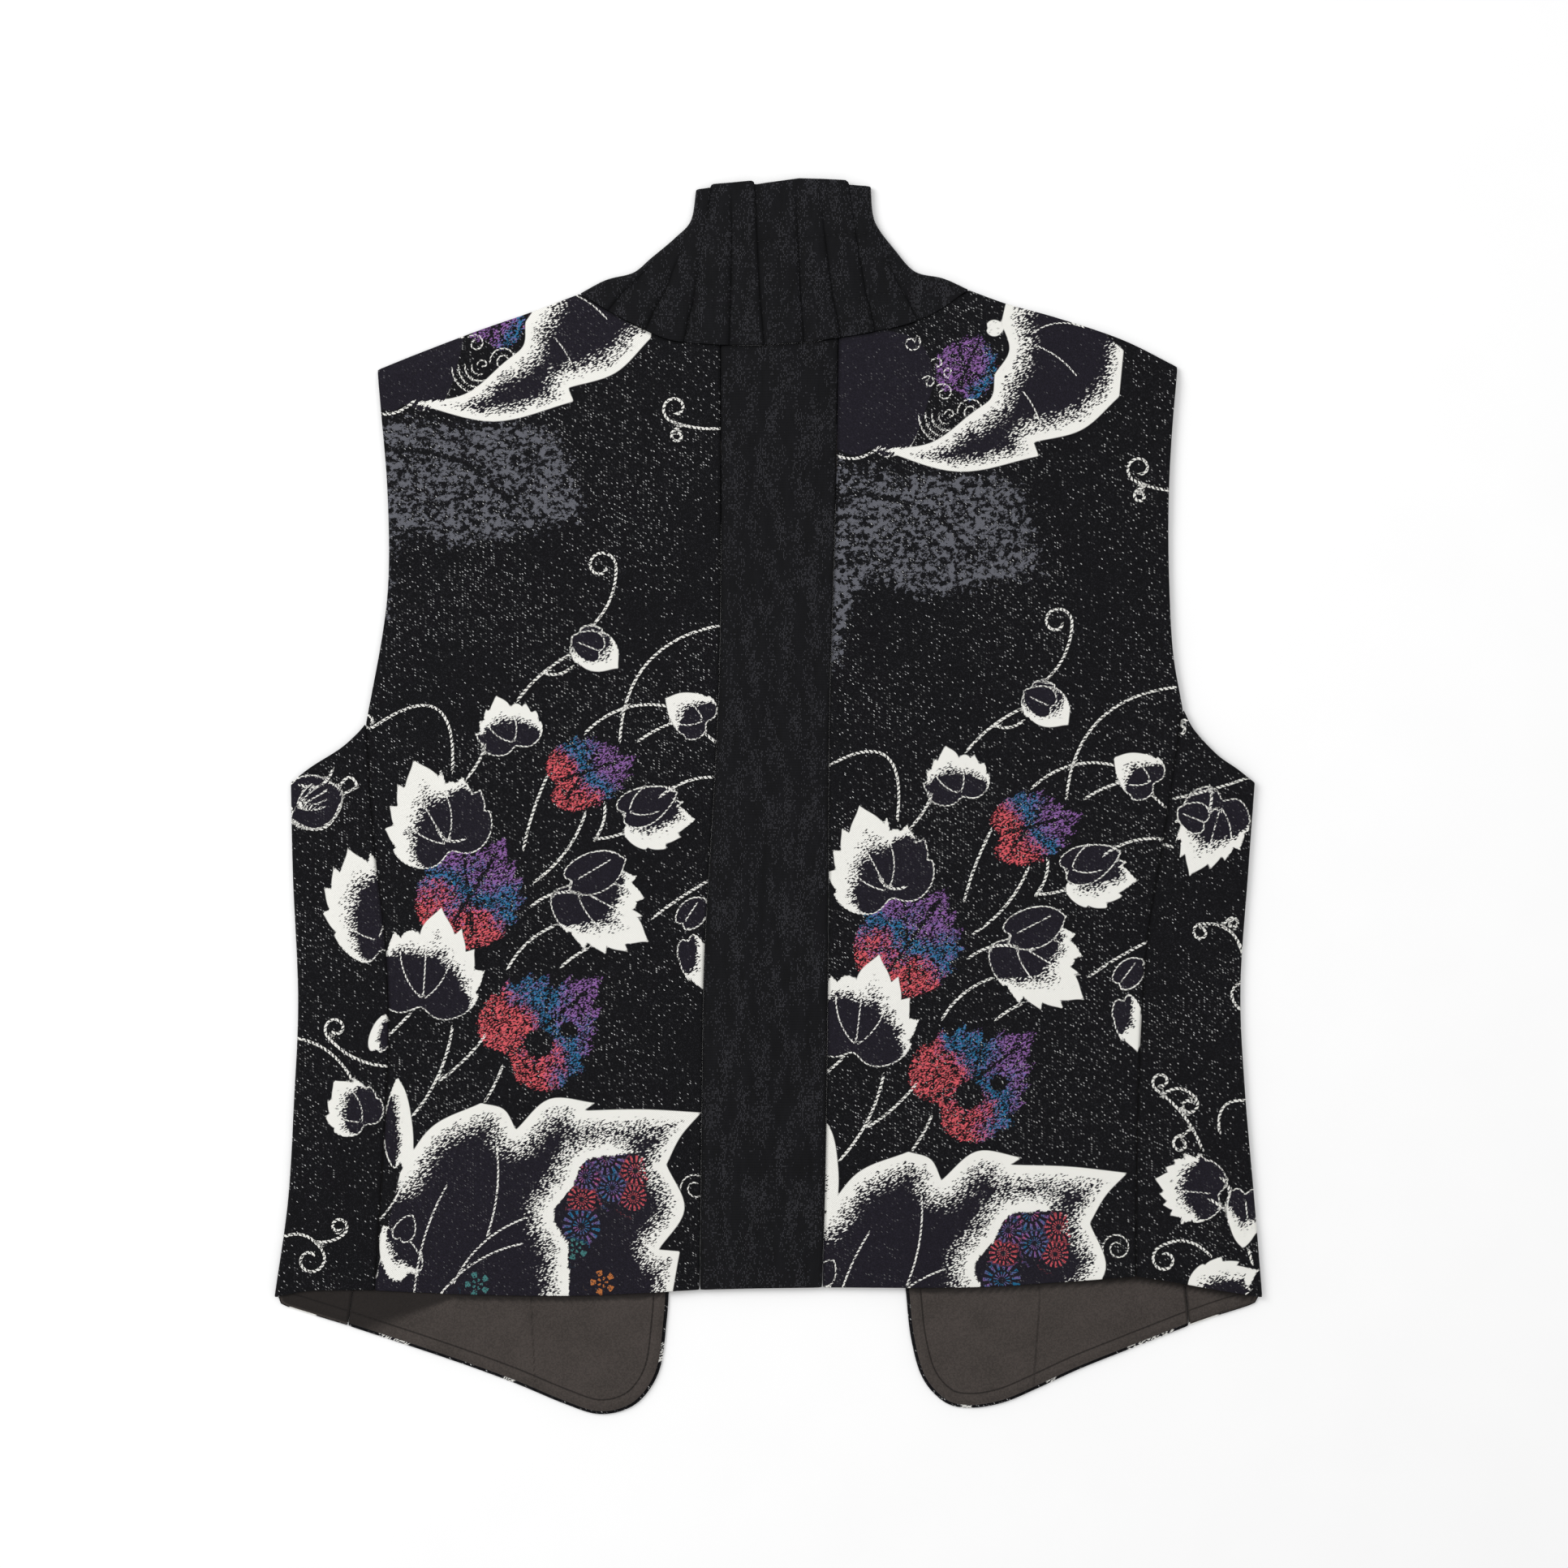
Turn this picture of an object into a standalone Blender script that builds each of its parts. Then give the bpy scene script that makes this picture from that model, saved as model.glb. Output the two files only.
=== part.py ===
"""A waistcoat of patterned and plain cloth with a pleated stand collar, laid flat with its back upwards.

The floor is z = 0. The fronts lie on it with their linings on them, and the back lies on the linings.
The side panels and the collar wrap round their folded edges from the back to the front. Sizes and
tables are in millimetres: x runs to the wearer's right, y towards the collar, and z up.
"""

import math
from collections import namedtuple

import bmesh
import bpy
import numpy as np

MM = 0.001  # metres in a millimetre

# The layers, from the floor up
CLOTH = 1.2  # wall of the outer cloth with its interlining
LINING = 1.1  # wall of the lining
SEAM_GAP = 0.3  # between pieces that are sewn together or lie on each other
FRONT_MID = CLOTH / 2
LINING_LOW = CLOTH + SEAM_GAP
BACK_MID = LINING_LOW + LINING + SEAM_GAP + CLOTH / 2
FOLD_RADIUS = (BACK_MID - FRONT_MID) / 2  # of the wall's middle, where cloth wraps from back to front
SHOULDER_MID = CLOTH + SEAM_GAP + CLOTH / 2  # the back comes down on the front along the shoulder seam
SHOULDER_RUN = 8  # the distance over which it comes down
FOLD_CALM = 25  # soft folds fade out within this distance of a folded side edge

# How far a lining stops inside the edge that it is sewn to
LINING_IN_HEM = 1.8
LINING_IN_SEAM = 0.45
LINING_IN_TOP = 10

# Steps of the walls' grids
SEAM_ROWS = 15  # along a side seam
ARMHOLE_ROWS = 9
BODY_ROWS = SEAM_ROWS + ARMHOLE_ROWS
SHOULDER_COLUMNS = 8
NECK_COLUMNS = 8
STRIP_COLUMNS = 4
SIDE_COLUMNS = 4
UNDER_COLUMNS = 3
COLLAR_ROWS = 9
COLLAR_FRONT_COLUMNS = 5
FOLD_STEPS = 6  # round the half turn of a folded edge
FOLD_IN = 2.4  # from the collar's folded edge to its first flat column, clear of the half turn
EDGE_STEPS = 14  # along the free edges of a flat front

# Seams and edges as they lie. Each is a smooth curve through rows of (x, y)
LINES = {
    "neck_left": ((-98, 261), (-82.5, 251.5), (-67, 243.5), (-50, 236.5), (-24.8, 234)),
    "neck_centre": ((-24.8, 234), (-2.5, 234.2), (18.5, 235.6), (36.3, 237.7)),
    "neck_right": ((36.3, 237.7), (54.5, 241), (73, 245.2), (87.5, 251.5), (104, 263)),
    "shoulder_left": ((-98, 261), (-124, 251.2), (-150.5, 242), (-182.5, 229.8), (-203, 221.5)),
    "shoulder_right": ((104, 263), (124.5, 255.6), (149.5, 248.7), (183.5, 237.3), (212.4, 223)),
    "armhole_left": ((-203, 221.5), (-201, 199), (-197.8, 160), (-197, 118.7), (-200, 86), (-208.8, 38)),
    "armhole_right": ((212.4, 223), (209.4, 188), (207.7, 152), (208, 112), (210, 75), (215, 45.5)),
    "underarm_left": ((-208.8, 38), (-213, 33), (-222, 25), (-237, 15.5), (-247.9, 7)),
    "underarm_right": ((215, 45.5), (220.5, 35), (232.5, 22), (243, 14.5), (252.5, 7)),
    "seam_left": ((-208.8, 38), (-205, -20), (-198.5, -80), (-197.2, -130), (-200.2, -190), (-204.3, -256.4)),
    "seam_right": ((215, 45.5), (205.5, -20), (197, -72), (193, -130), (191.2, -190), (190.6, -248.8)),
    "side_left": ((-247.9, 7), (-246.9, -41), (-244.2, -105), (-246.3, -157), (-249.5, -210), (-256.5, -260)),
    "side_right": ((252.5, 7), (249, -41), (245.1, -100), (247.4, -152), (252.4, -210), (256.5, -260)),
    "strip_left": ((-24.8, 234), (-24.8, 100), (-27, 25), (-33, -80), (-34.6, -167), (-35.6, -256)),
    "strip_right": ((36.3, 237.7), (34.8, 150), (31.6, 35), (31.1, -70), (30, -170), (28, -254.8)),
    "hem_left": ((-204.3, -256.4), (-152, -258.6), (-95, -259), (-35.6, -256)),
    "hem_centre": ((-35.6, -256), (-4, -255.3), (28, -254.8)),
    "hem_right": ((28, -254.8), (101, -254.8), (148, -252.3), (190.6, -248.8)),
    "hem_side_left": ((-204.3, -256.4), (-218, -256.2), (-240, -256.8), (-256.5, -260)),
    "hem_side_right": ((190.6, -248.8), (210, -251.8), (236, -256.5), (256.5, -260)),
    # The fronts, underneath. Their hems and points show below the back
    "under_hem_side_left": ((-256.5, -260), (-252, -264.3), (-237, -269.3), (-218.5, -275)),
    "under_hem_side_right": ((256.5, -260), (251, -264), (234, -269.6), (218.5, -275)),
    "under_seam_left": ((-211, 30), (-206, -60), (-204, -140), (-210, -215), (-218.5, -275)),
    "under_seam_right": ((218, 36), (213, -55), (210, -140), (213, -215), (218.5, -275)),
    "under_arm_left": ((-211, 30), (-222, 19), (-235, 10.5), (-247.9, 7)),
    "under_arm_right": ((218, 36), (228, 22), (240, 11.5), (252.5, 7)),
    "front_hem_left": ((-218.5, -275), (-167.5, -291.9), (-134, -304), (-107, -315.2), (-89, -320.9),
                       (-74, -318.5), (-63.5, -310.5), (-56, -296), (-52.8, -272), (-51.6, -256)),
    "front_hem_right": ((218.5, -275), (187.5, -287.2), (161.5, -297.6), (140, -307.5), (122, -315),
                        (105, -317.7), (91.5, -314.7), (80, -302), (74, -281), (71.3, -256)),
    "front_edge_left": ((-51.6, -256), (-46, -150), (-36, 0), (-26, 120), (-22, 196)),
    "front_edge_right": ((71.3, -256), (64, -150), (52, 0), (38, 120), (31, 197)),
    "front_neck_left": ((-98, 261), (-86, 246), (-66, 224), (-42, 203), (-22, 196)),
    "front_neck_right": ((104, 263), (92, 248), (72, 225), (49, 204), (31, 197)),
    "front_armhole_left": ((-203, 221.5), (-195, 190), (-191, 150), (-191, 110), (-197, 66), (-211, 30)),
    "front_armhole_right": ((212.4, 223), (203.5, 190), (200, 150), (200.5, 110), (206, 70), (218, 36)),
    # The collar, from the neck to its top
    "collar_left": ((-98, 261), (-84.7, 268), (-70.5, 271.8), (-61, 279.5), (-48.5, 290),
                    (-40.3, 299), (-37.5, 315)),
    "collar_right": ((104, 263), (91, 268.8), (76, 272.5), (65, 284.5), (57, 295), (54, 303), (53, 316.6)),
    "collar_opening_left": ((-22, 196), (-19, 240), (-14, 286)),
    "collar_opening_right": ((31, 197), (28.5, 240), (24, 287)),
}

# The collar's upper edge from left to right, with the steps where pleats end in it
COLLAR_TOP = ((-37.5, 315), (-29.8, 316), (-29, 317.9), (-8.2, 319.6), (-7.4, 317.6), (-1, 318.6),
              (16, 320.9), (27, 320.6), (40.6, 319.8), (41.4, 317.6), (53, 316.6))

# The collar's knife pleats: where each fold line meets the neck seam and the top, and its step there
Pleat = namedtuple("Pleat", "x_neck x_top step_neck step_top")
PLEATS = (
    Pleat(-84, -33.4, 0.9, 0.0),
    Pleat(-62.3, -31.4, 0.8, 0.0),
    Pleat(-44.7, -29.4, 0.9, 0.8),
    Pleat(-20.8, -19.3, 0.9, 0.3),
    Pleat(-2.4, -7.8, 0.9, 0.9),
    Pleat(18.3, 14.5, 0.9, 0.4),
    Pleat(36.8, 27.1, 0.9, 0.4),
    Pleat(54, 41, 0.9, 0.9),
    Pleat(77.2, 49, 0.9, 0.2),
)
PLEAT_EDGE = 0.4  # half the width of a pleat's step
PLEAT_FLATS = 2  # grid columns between two steps

# The largest soft folds of the back: a ridge from (x1, y1) to (x2, y2)
Fold = namedtuple("Fold", "x1 y1 x2 y2 height width")
FOLDS = (
    Fold(188, -256, 226, -262, 2.4, 26),  # the hem stands off the lining
    Fold(-186, -78, -105, -52, 0.9, 16),
    Fold(-158, 196, -118, 118, 0.8, 15),
    Fold(-70, -128, -58, -250, 0.7, 13),
    Fold(-10, -70, -12, -240, 0.8, 9),
    Fold(14, 205, 8, 60, 0.6, 8),
    Fold(70, 218, 112, 132, 0.9, 15),
    Fold(184, -58, 108, -36, 0.9, 17),
    Fold(62, -110, 74, -240, 0.8, 15),
    Fold(-226, -40, -223, -190, 0.6, 9),
)

Finish = namedtuple("Finish", "colour roughness")
FINISHES = {
    "patterned_cloth": Finish((0.012, 0.012, 0.015), 0.7),
    "plain_cloth": Finish((0.010, 0.010, 0.013), 0.55),
    "lining_cloth": Finish((0.065, 0.055, 0.048), 0.75),
}


def smooth(rows, steps):
    """steps + 1 points, evenly spaced along the Catmull-Rom curve through the rows."""
    knots = np.array(rows, float)
    ends = np.vstack([2 * knots[0] - knots[1], knots, 2 * knots[-1] - knots[-2]])
    t = np.linspace(0, 1, 25)[:, None]
    spans = []
    for a, b, c, d in zip(ends, ends[1:], ends[2:], ends[3:]):
        spans.append(b + 0.5 * t * (c - a + t * (2 * a - 5 * b + 4 * c - d + t * (3 * (b - c) + d - a))))
    return spaced(np.vstack(spans), np.linspace(0, 1, steps + 1))


def spaced(points, shares):
    """Points of a polyline at these shares of its length."""
    run = shares_of(points)
    return np.column_stack([np.interp(shares, run, points[:, k]) for k in range(points.shape[1])])


def shares_of(points):
    """How far along its polyline each point lies, from 0 to 1."""
    run = np.concatenate([[0], np.cumsum(np.linalg.norm(np.diff(points, axis=0), axis=1))])
    return run / run[-1]


def line(name, steps):
    return smooth(LINES[name], steps)


def joined(*curves):
    """Curves end to end, each starting where the last one ends."""
    return np.vstack([curves[0]] + [curve[1:] for curve in curves[1:]])


def patch(bottom, top, left, right):
    """The four-sided Coons surface between its edges: rows from bottom to top, columns from left to right."""
    u = ((shares_of(bottom) + shares_of(top)) / 2)[None, :, None]
    v = ((shares_of(left) + shares_of(right)) / 2)[:, None, None]
    between_rows = (1 - v) * bottom[None] + v * top[None]
    between_columns = (1 - u) * left[:, None] + u * right[:, None]
    corners = (1 - v) * ((1 - u) * bottom[0] + u * bottom[-1]) + v * ((1 - u) * top[0] + u * top[-1])
    return between_rows + between_columns - corners


def seam_inset(grid, sides, distance=SEAM_GAP / 2):
    """The grid with the edges named in sides drawn in, so that sewn pieces stay apart."""
    grid = grid.copy()
    edges = {
        "left": (grid[:, 0], grid[:, 1]),
        "right": (grid[:, -1], grid[:, -2]),
        "bottom": (grid[0], grid[1]),
        "top": (grid[-1], grid[-2]),
    }
    for side in sides.split():
        edge, inner = edges[side]
        way = inner - edge
        edge += distance * way / np.linalg.norm(way, axis=1, keepdims=True)
    return grid


def with_shoulder_row(grid):
    """The grid with one more row, where the back begins to come down to its top edge."""
    way = grid[-2] - grid[-1]
    row = grid[-1] + SHOULDER_RUN * way / np.linalg.norm(way, axis=1, keepdims=True)
    return np.insert(grid, -1, row, axis=0)


def distance_to(points, polyline):
    """The distance of each point from a polyline."""
    start, way = polyline[:-1], np.diff(polyline, axis=0)
    offset = points[..., None, :] - start
    share = np.clip((offset * way).sum(-1) / (way**2).sum(-1), 0, 1)
    return np.linalg.norm(offset - share[..., None] * way, axis=-1).min(-1)


def eased(share):
    share = np.clip(share, 0, 1)
    return share * share * (3 - 2 * share)


def back_height(points):
    """The height of the middle of the back's wall."""
    lift = np.zeros(points.shape[:-1])
    for fold in FOLDS:
        ridge = np.array([(fold.x1, fold.y1), (fold.x2, fold.y2)], float)
        lift += fold.height * np.exp(-((distance_to(points, ridge) / fold.width) ** 2))
    for side in ("left", "right"):
        lift *= eased(distance_to(points, line("side_" + side, SEAM_ROWS)) / FOLD_CALM)
    shoulders = [line("shoulder_" + side, SHOULDER_COLUMNS) for side in ("left", "right")]
    near = np.minimum(*(distance_to(points, shoulder) for shoulder in shoulders))
    return SHOULDER_MID + (BACK_MID - SHOULDER_MID + lift) * eased(near / SHOULDER_RUN)


def with_height(grid, height):
    height = np.broadcast_to(height, grid.shape[:2])
    return np.concatenate([grid, height[..., None]], axis=2)


def folded_edge(edge, inner):
    """The half turn of a wall at a folded edge, from the back down to the front: a column for each step.

    edge is the outermost point of each row, and inner is the next point of that row.
    """
    way = inner - edge
    way /= np.linalg.norm(way, axis=1, keepdims=True)
    centre = edge + (FOLD_RADIUS + CLOTH / 2) * way
    columns = []
    for step in range(FOLD_STEPS + 1):
        angle = math.pi * step / FOLD_STEPS
        place = centre - FOLD_RADIUS * math.sin(angle) * way
        height = (BACK_MID + FRONT_MID) / 2 + FOLD_RADIUS * math.cos(angle)
        columns.append(np.column_stack([place, np.full(len(place), height)]))
    return np.stack(columns, axis=1)


def wrapped(upper, upper_height, lower):
    """One wall from the upper grid's first column, round the fold at its last, along the lower grid.

    Both grids have the fold in their last column.
    """
    turn = folded_edge(upper[:, -1], upper[:, -2])
    over = with_height(upper, upper_height)[:, :-1]
    under = with_height(lower, FRONT_MID)[:, -2::-1]
    return np.concatenate([over, turn, under], axis=1)


def inset_outline(points, distances):
    """A closed outline drawn in by a distance of its own at each point, mitred at its corners."""
    before, after = np.roll(points, 1, axis=0), np.roll(points, -1, axis=0)
    ways = [points - before, after - points]
    normals = [np.column_stack([-w[:, 1], w[:, 0]]) / np.linalg.norm(w, axis=1, keepdims=True) for w in ways]
    x, y = points.T
    turn = np.sign((x * np.roll(y, -1) - np.roll(x, -1) * y).sum())
    mitre = normals[0] + normals[1]
    mitre /= (mitre * normals[0]).sum(1, keepdims=True)
    return points + turn * np.asarray(distances)[:, None] * mitre


def sheet(name, grid, finish):
    """A wall of outer cloth through a grid of points on its middle."""
    rows, columns = grid.shape[:2]
    work = bmesh.new()
    bmesh.ops.create_grid(work, x_segments=columns - 1, y_segments=rows - 1, size=1)
    work.verts.ensure_lookup_table()
    for vertex, point in zip(work.verts, grid.reshape(-1, 3)):
        vertex.co = point * MM
    mesh = bpy.data.meshes.new(name)
    work.to_mesh(mesh)
    work.free()
    mesh.shade_smooth()
    piece = bpy.data.objects.new(name, mesh)
    wall = piece.modifiers.new("wall", "SOLIDIFY")
    wall.thickness = CLOTH * MM
    wall.offset = 0
    wall.use_even_offset = True
    return placed(piece, finish)


def flat_piece(name, outline, low, thickness, finish):
    """A flat wall of this outline, with its underside at the height low."""
    curve = bpy.data.curves.new(name, "CURVE")
    curve.dimensions = "2D"
    curve.fill_mode = "BOTH"
    curve.extrude = thickness / 2 * MM
    spline = curve.splines.new("POLY")
    spline.points.add(len(outline) - 1)
    for point, (x, y) in zip(spline.points, outline * MM):
        point.co = (x, y, 0, 1)
    spline.use_cyclic_u = True
    piece = bpy.data.objects.new(name, curve)
    piece.location.z = (low + thickness / 2) * MM
    return placed(piece, finish)


def placed(piece, finish):
    piece.data.materials.append(bpy.data.materials[finish])
    bpy.data.collections["waistcoat"].objects.link(piece)
    return piece


def make_materials():
    for name, finish in FINISHES.items():
        material = bpy.data.materials.new(name)
        material.use_nodes = True
        shader = material.node_tree.nodes["Principled BSDF"]
        shader.inputs["Base Color"].default_value = (*finish.colour, 1)
        shader.inputs["Roughness"].default_value = finish.roughness
        shader.inputs["Metallic"].default_value = 0


def make_back_panel(side):
    """A patterned panel of the back, from the centre strip to the side seam and the armhole."""
    bottom = line("hem_" + side, SHOULDER_COLUMNS + NECK_COLUMNS)
    outer = joined(line("seam_" + side, SEAM_ROWS)[::-1], line("armhole_" + side, ARMHOLE_ROWS)[::-1])
    inner = line("strip_" + side, BODY_ROWS)[::-1]
    shoulder = line("shoulder_" + side, SHOULDER_COLUMNS)
    neck = line("neck_" + side, NECK_COLUMNS)
    if side == "left":
        grid = patch(bottom, joined(shoulder[::-1], neck), outer, inner)
    else:
        grid = patch(bottom, joined(neck, shoulder), inner, outer)
    grid = with_shoulder_row(seam_inset(grid, "left right"))
    sheet("back_" + side, with_height(grid, back_height(grid)), "patterned_cloth")


def make_centre_strip():
    grid = patch(
        line("hem_centre", STRIP_COLUMNS),
        line("neck_centre", STRIP_COLUMNS),
        line("strip_left", BODY_ROWS)[::-1],
        line("strip_right", BODY_ROWS)[::-1],
    )
    grid = seam_inset(grid, "left right")
    sheet("back_centre", with_height(grid, back_height(grid)), "plain_cloth")


def make_side_panel(side):
    """A side panel, from its seam on the back round the folded side edge to its seam on the front."""
    fold = line("side_" + side, SEAM_ROWS)[::-1]
    upper = patch(
        line("hem_side_" + side, SIDE_COLUMNS),
        line("underarm_" + side, SIDE_COLUMNS),
        line("seam_" + side, SEAM_ROWS)[::-1],
        fold,
    )
    lower = patch(
        line("under_hem_side_" + side, UNDER_COLUMNS)[::-1],
        line("under_arm_" + side, UNDER_COLUMNS),
        line("under_seam_" + side, SEAM_ROWS)[::-1],
        fold,
    )
    upper = seam_inset(upper, "left")
    lower = seam_inset(lower, "left")
    grid = wrapped(upper, back_height(upper), lower)
    sheet("side_" + side, grid, "patterned_cloth")


def front_outline(side):
    """The edges of a front in order round it, each with how far the lining stops inside it."""
    return (
        (line("front_hem_" + side, 2 * EDGE_STEPS), LINING_IN_HEM),
        (line("front_edge_" + side, EDGE_STEPS), LINING_IN_HEM),
        (line("front_neck_" + side, EDGE_STEPS)[::-1], LINING_IN_TOP),
        (line("shoulder_" + side, SHOULDER_COLUMNS), LINING_IN_TOP),
        (line("front_armhole_" + side, EDGE_STEPS), LINING_IN_TOP),
        (line("under_seam_" + side, SEAM_ROWS), LINING_IN_SEAM),
    )


def make_front(side):
    """A front and its lining, flat on the floor under the back."""
    edges = front_outline(side)
    outline = np.vstack([points[:-1] for points, _ in edges])
    lining_in = np.concatenate([np.full(len(points) - 1, inset) for points, inset in edges])
    front = inset_outline(outline, np.full(len(outline), SEAM_GAP / 2))
    flat_piece("front_" + side, front, 0, CLOTH, "patterned_cloth")
    lining = inset_outline(outline, lining_in)
    flat_piece("front_" + side + "_lining", lining, LINING_LOW, LINING, "lining_cloth")


def make_side_lining(side):
    """The lining of a side panel's front part, whose end shows below the hem at the side."""
    edges = (
        (line("under_hem_side_" + side, UNDER_COLUMNS), LINING_IN_HEM),
        (line("under_seam_" + side, SEAM_ROWS)[::-1], LINING_IN_SEAM),
        (line("under_arm_" + side, UNDER_COLUMNS), LINING_IN_TOP),
        (line("side_" + side, SEAM_ROWS), 2 * FOLD_RADIUS + CLOTH),
    )
    outline = np.vstack([points[:-1] for points, _ in edges])
    lining_in = np.concatenate([np.full(len(points) - 1, inset) for points, inset in edges])
    flat_piece("side_" + side + "_lining", inset_outline(outline, lining_in), LINING_LOW, LINING, "lining_cloth")


def collar_columns():
    """For each grid column of the collar's back: x at the neck seam, x at the top, and its raised height there."""
    neck_ends = (LINES["collar_left"][0][0], LINES["collar_right"][0][0])
    top_ends = (COLLAR_TOP[0][0], COLLAR_TOP[-1][0])
    stops = (Pleat(neck_ends[0], top_ends[0], 0, 0), *PLEATS, Pleat(neck_ends[1], top_ends[1], 0, 0))
    columns = [(neck_ends[0], top_ends[0], 0, 0)]
    for before, after in zip(stops, stops[1:]):
        start = np.array([before.x_neck, before.x_top]) + (FOLD_IN if before is stops[0] else PLEAT_EDGE)
        end = np.array([after.x_neck, after.x_top]) - (FOLD_IN if after is stops[-1] else PLEAT_EDGE)
        rise = np.array([after.step_neck, after.step_top])
        for share in np.linspace(0, 1, PLEAT_FLATS + 2):
            columns.append((*(start + share * (end - start)), *(rise * share)))
    columns.append((neck_ends[1], top_ends[1], 0, 0))
    return np.array(columns)


def make_collar():
    """The stand collar: its pleated back, and its two front halves folded under it."""
    columns = collar_columns()
    neck = joined(*(line("neck_" + part, NECK_COLUMNS) for part in ("left", "centre", "right")))
    bottom = np.column_stack([columns[:, 0], np.interp(columns[:, 0], *neck.T)])
    top_x, top_y = np.array(COLLAR_TOP).T
    top = np.column_stack([columns[:, 1], np.interp(columns[:, 1], top_x, top_y)])
    left, right = (line("collar_" + side, COLLAR_ROWS) for side in ("left", "right"))
    back = seam_inset(patch(bottom, top, left, right), "bottom", SEAM_GAP)
    rise_share = shares_of(left)[:, None]
    height = BACK_MID + (1 - rise_share) * columns[:, 2] + rise_share * columns[:, 3]
    halves = {}
    for side, fold in (("left", left), ("right", right)):
        opening = line("collar_opening_" + side, COLLAR_ROWS)
        under_neck = line("front_neck_" + side, COLLAR_FRONT_COLUMNS)
        under_top = spaced(np.array([fold[-1], opening[-1]]), np.linspace(0, 1, COLLAR_FRONT_COLUMNS + 1))
        halves[side] = seam_inset(patch(under_neck, under_top, fold, opening), "bottom", 2 * SEAM_GAP)
    turn_left = folded_edge(back[:, 0], back[:, 1])[:, ::-1]
    turn_right = folded_edge(back[:, -1], back[:, -2])
    grid = np.concatenate(
        [
            with_height(halves["left"], FRONT_MID)[:, :0:-1],
            turn_left,
            with_height(back, height)[:, 1:-1],
            turn_right,
            with_height(halves["right"], FRONT_MID)[:, 1:],
        ],
        axis=1,
    )
    sheet("collar", grid, "plain_cloth")


def main():
    for thing in list(bpy.data.objects):
        bpy.data.objects.remove(thing, do_unlink=True)
    bpy.context.scene.collection.children.link(bpy.data.collections.new("waistcoat"))
    make_materials()
    make_centre_strip()
    make_collar()
    for side in ("left", "right"):
        make_back_panel(side)
        make_side_panel(side)
        make_front(side)
        make_side_lining(side)


main()
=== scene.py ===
"""The looks of a woman's waistcoat of patterned and plain cloth, laid flat with its back upwards.

Sizes and places in the tables are millimetres in the frame's own axes: x to the wearer's right,
y towards the collar and z up from the floor.
"""

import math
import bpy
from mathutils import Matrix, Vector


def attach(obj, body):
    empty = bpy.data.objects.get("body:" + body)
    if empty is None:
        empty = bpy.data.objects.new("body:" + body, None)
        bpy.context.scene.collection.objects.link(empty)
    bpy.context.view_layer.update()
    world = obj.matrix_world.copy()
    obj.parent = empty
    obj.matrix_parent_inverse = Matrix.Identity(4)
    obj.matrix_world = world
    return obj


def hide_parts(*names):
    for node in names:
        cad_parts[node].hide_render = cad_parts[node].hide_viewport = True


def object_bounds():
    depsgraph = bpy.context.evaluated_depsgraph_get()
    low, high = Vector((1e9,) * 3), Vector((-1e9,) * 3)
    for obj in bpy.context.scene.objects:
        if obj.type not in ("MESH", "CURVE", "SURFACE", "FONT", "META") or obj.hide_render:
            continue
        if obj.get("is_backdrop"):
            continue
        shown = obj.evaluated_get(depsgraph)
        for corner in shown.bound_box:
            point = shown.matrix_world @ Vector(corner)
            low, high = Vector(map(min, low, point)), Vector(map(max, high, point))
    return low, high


bl_info = {
    "name": "Laid waistcoat",
    "version": (1, 0, 0),
    "blender": (4, 5, 0),
    "location": "3D View > Sidebar > Waistcoat",
    "description": "Cloth, woven leaves, pleats, lining and stitches of a waistcoat laid on its fronts",
    "category": "Object",
}

from collections import namedtuple

import bpy
import numpy as np
from bpy.props import FloatProperty, FloatVectorProperty, PointerProperty
from bpy.types import Operator, Panel, PropertyGroup

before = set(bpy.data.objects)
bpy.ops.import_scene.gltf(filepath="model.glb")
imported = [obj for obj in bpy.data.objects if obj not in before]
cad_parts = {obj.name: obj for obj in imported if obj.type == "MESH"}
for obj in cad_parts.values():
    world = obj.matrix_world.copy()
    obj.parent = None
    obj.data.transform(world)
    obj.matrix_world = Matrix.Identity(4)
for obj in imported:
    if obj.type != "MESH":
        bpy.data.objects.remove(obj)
CAD_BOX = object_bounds()

MM = 0.001
BODY = "root"

# The layers, from the floor up, as the solids have them
CLOTH = 1.2
LINING = 1.1
SEAM_GAP = 0.3
FRONT_MID = CLOTH / 2
LINING_MID = CLOTH + SEAM_GAP + LINING / 2
BACK_MID = CLOTH + SEAM_GAP + LINING + SEAM_GAP + CLOTH / 2
FOLD_RADIUS = (BACK_MID - FRONT_MID) / 2
SHOULDER_MID = CLOTH + SEAM_GAP + CLOTH / 2
SHOULDER_RUN = 8  # how far in from the shoulder the back reaches its height
FOLD_CALM = 25  # how far in from a folded side edge the folds reach their height
RIM = CLOTH / 2  # half a wall, which its rounded edge reaches past its outermost points
LINING_RIM = LINING / 2

# How far a lining stops inside the edge that it is sewn to
LINING_IN_HEM = 1.7
LINING_IN_SEAM = 0.06
LINING_IN_TOP = 10

# The step of each kind of wall. Each count of steps is a multiple of UNDER_STEP
PATTERN_STEP = 1.15
STRIP_STEP = 1.6
FRONT_STEP = 1.6
LINING_STEP = 1.7
COLLAR_STEP = 1.1
UNDER_STEP = 4  # a wall's plainer side has one step for this many on its finer side
RIM_ANGLES = (54, 18, -18, -54)  # a wall's rounded edge, in degrees above its middle
MAP_GAP = 8  # between the two sides of a wall in the map of the bake
MAP_MARGIN = 0.01  # round the map, as a share of it

# The width and the length to which each piece is cut
BACK_CUT = (190, 525)
STRIP_CUT = (66, 494)
SIDE_CUT = (104, 322)
FRONT_CUT = (197, 582)
FRONT_LINING_CUT = (192, 570)
SIDE_LINING_CUT = (52, 290)
COLLAR_CUT = (420, 124)

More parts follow.
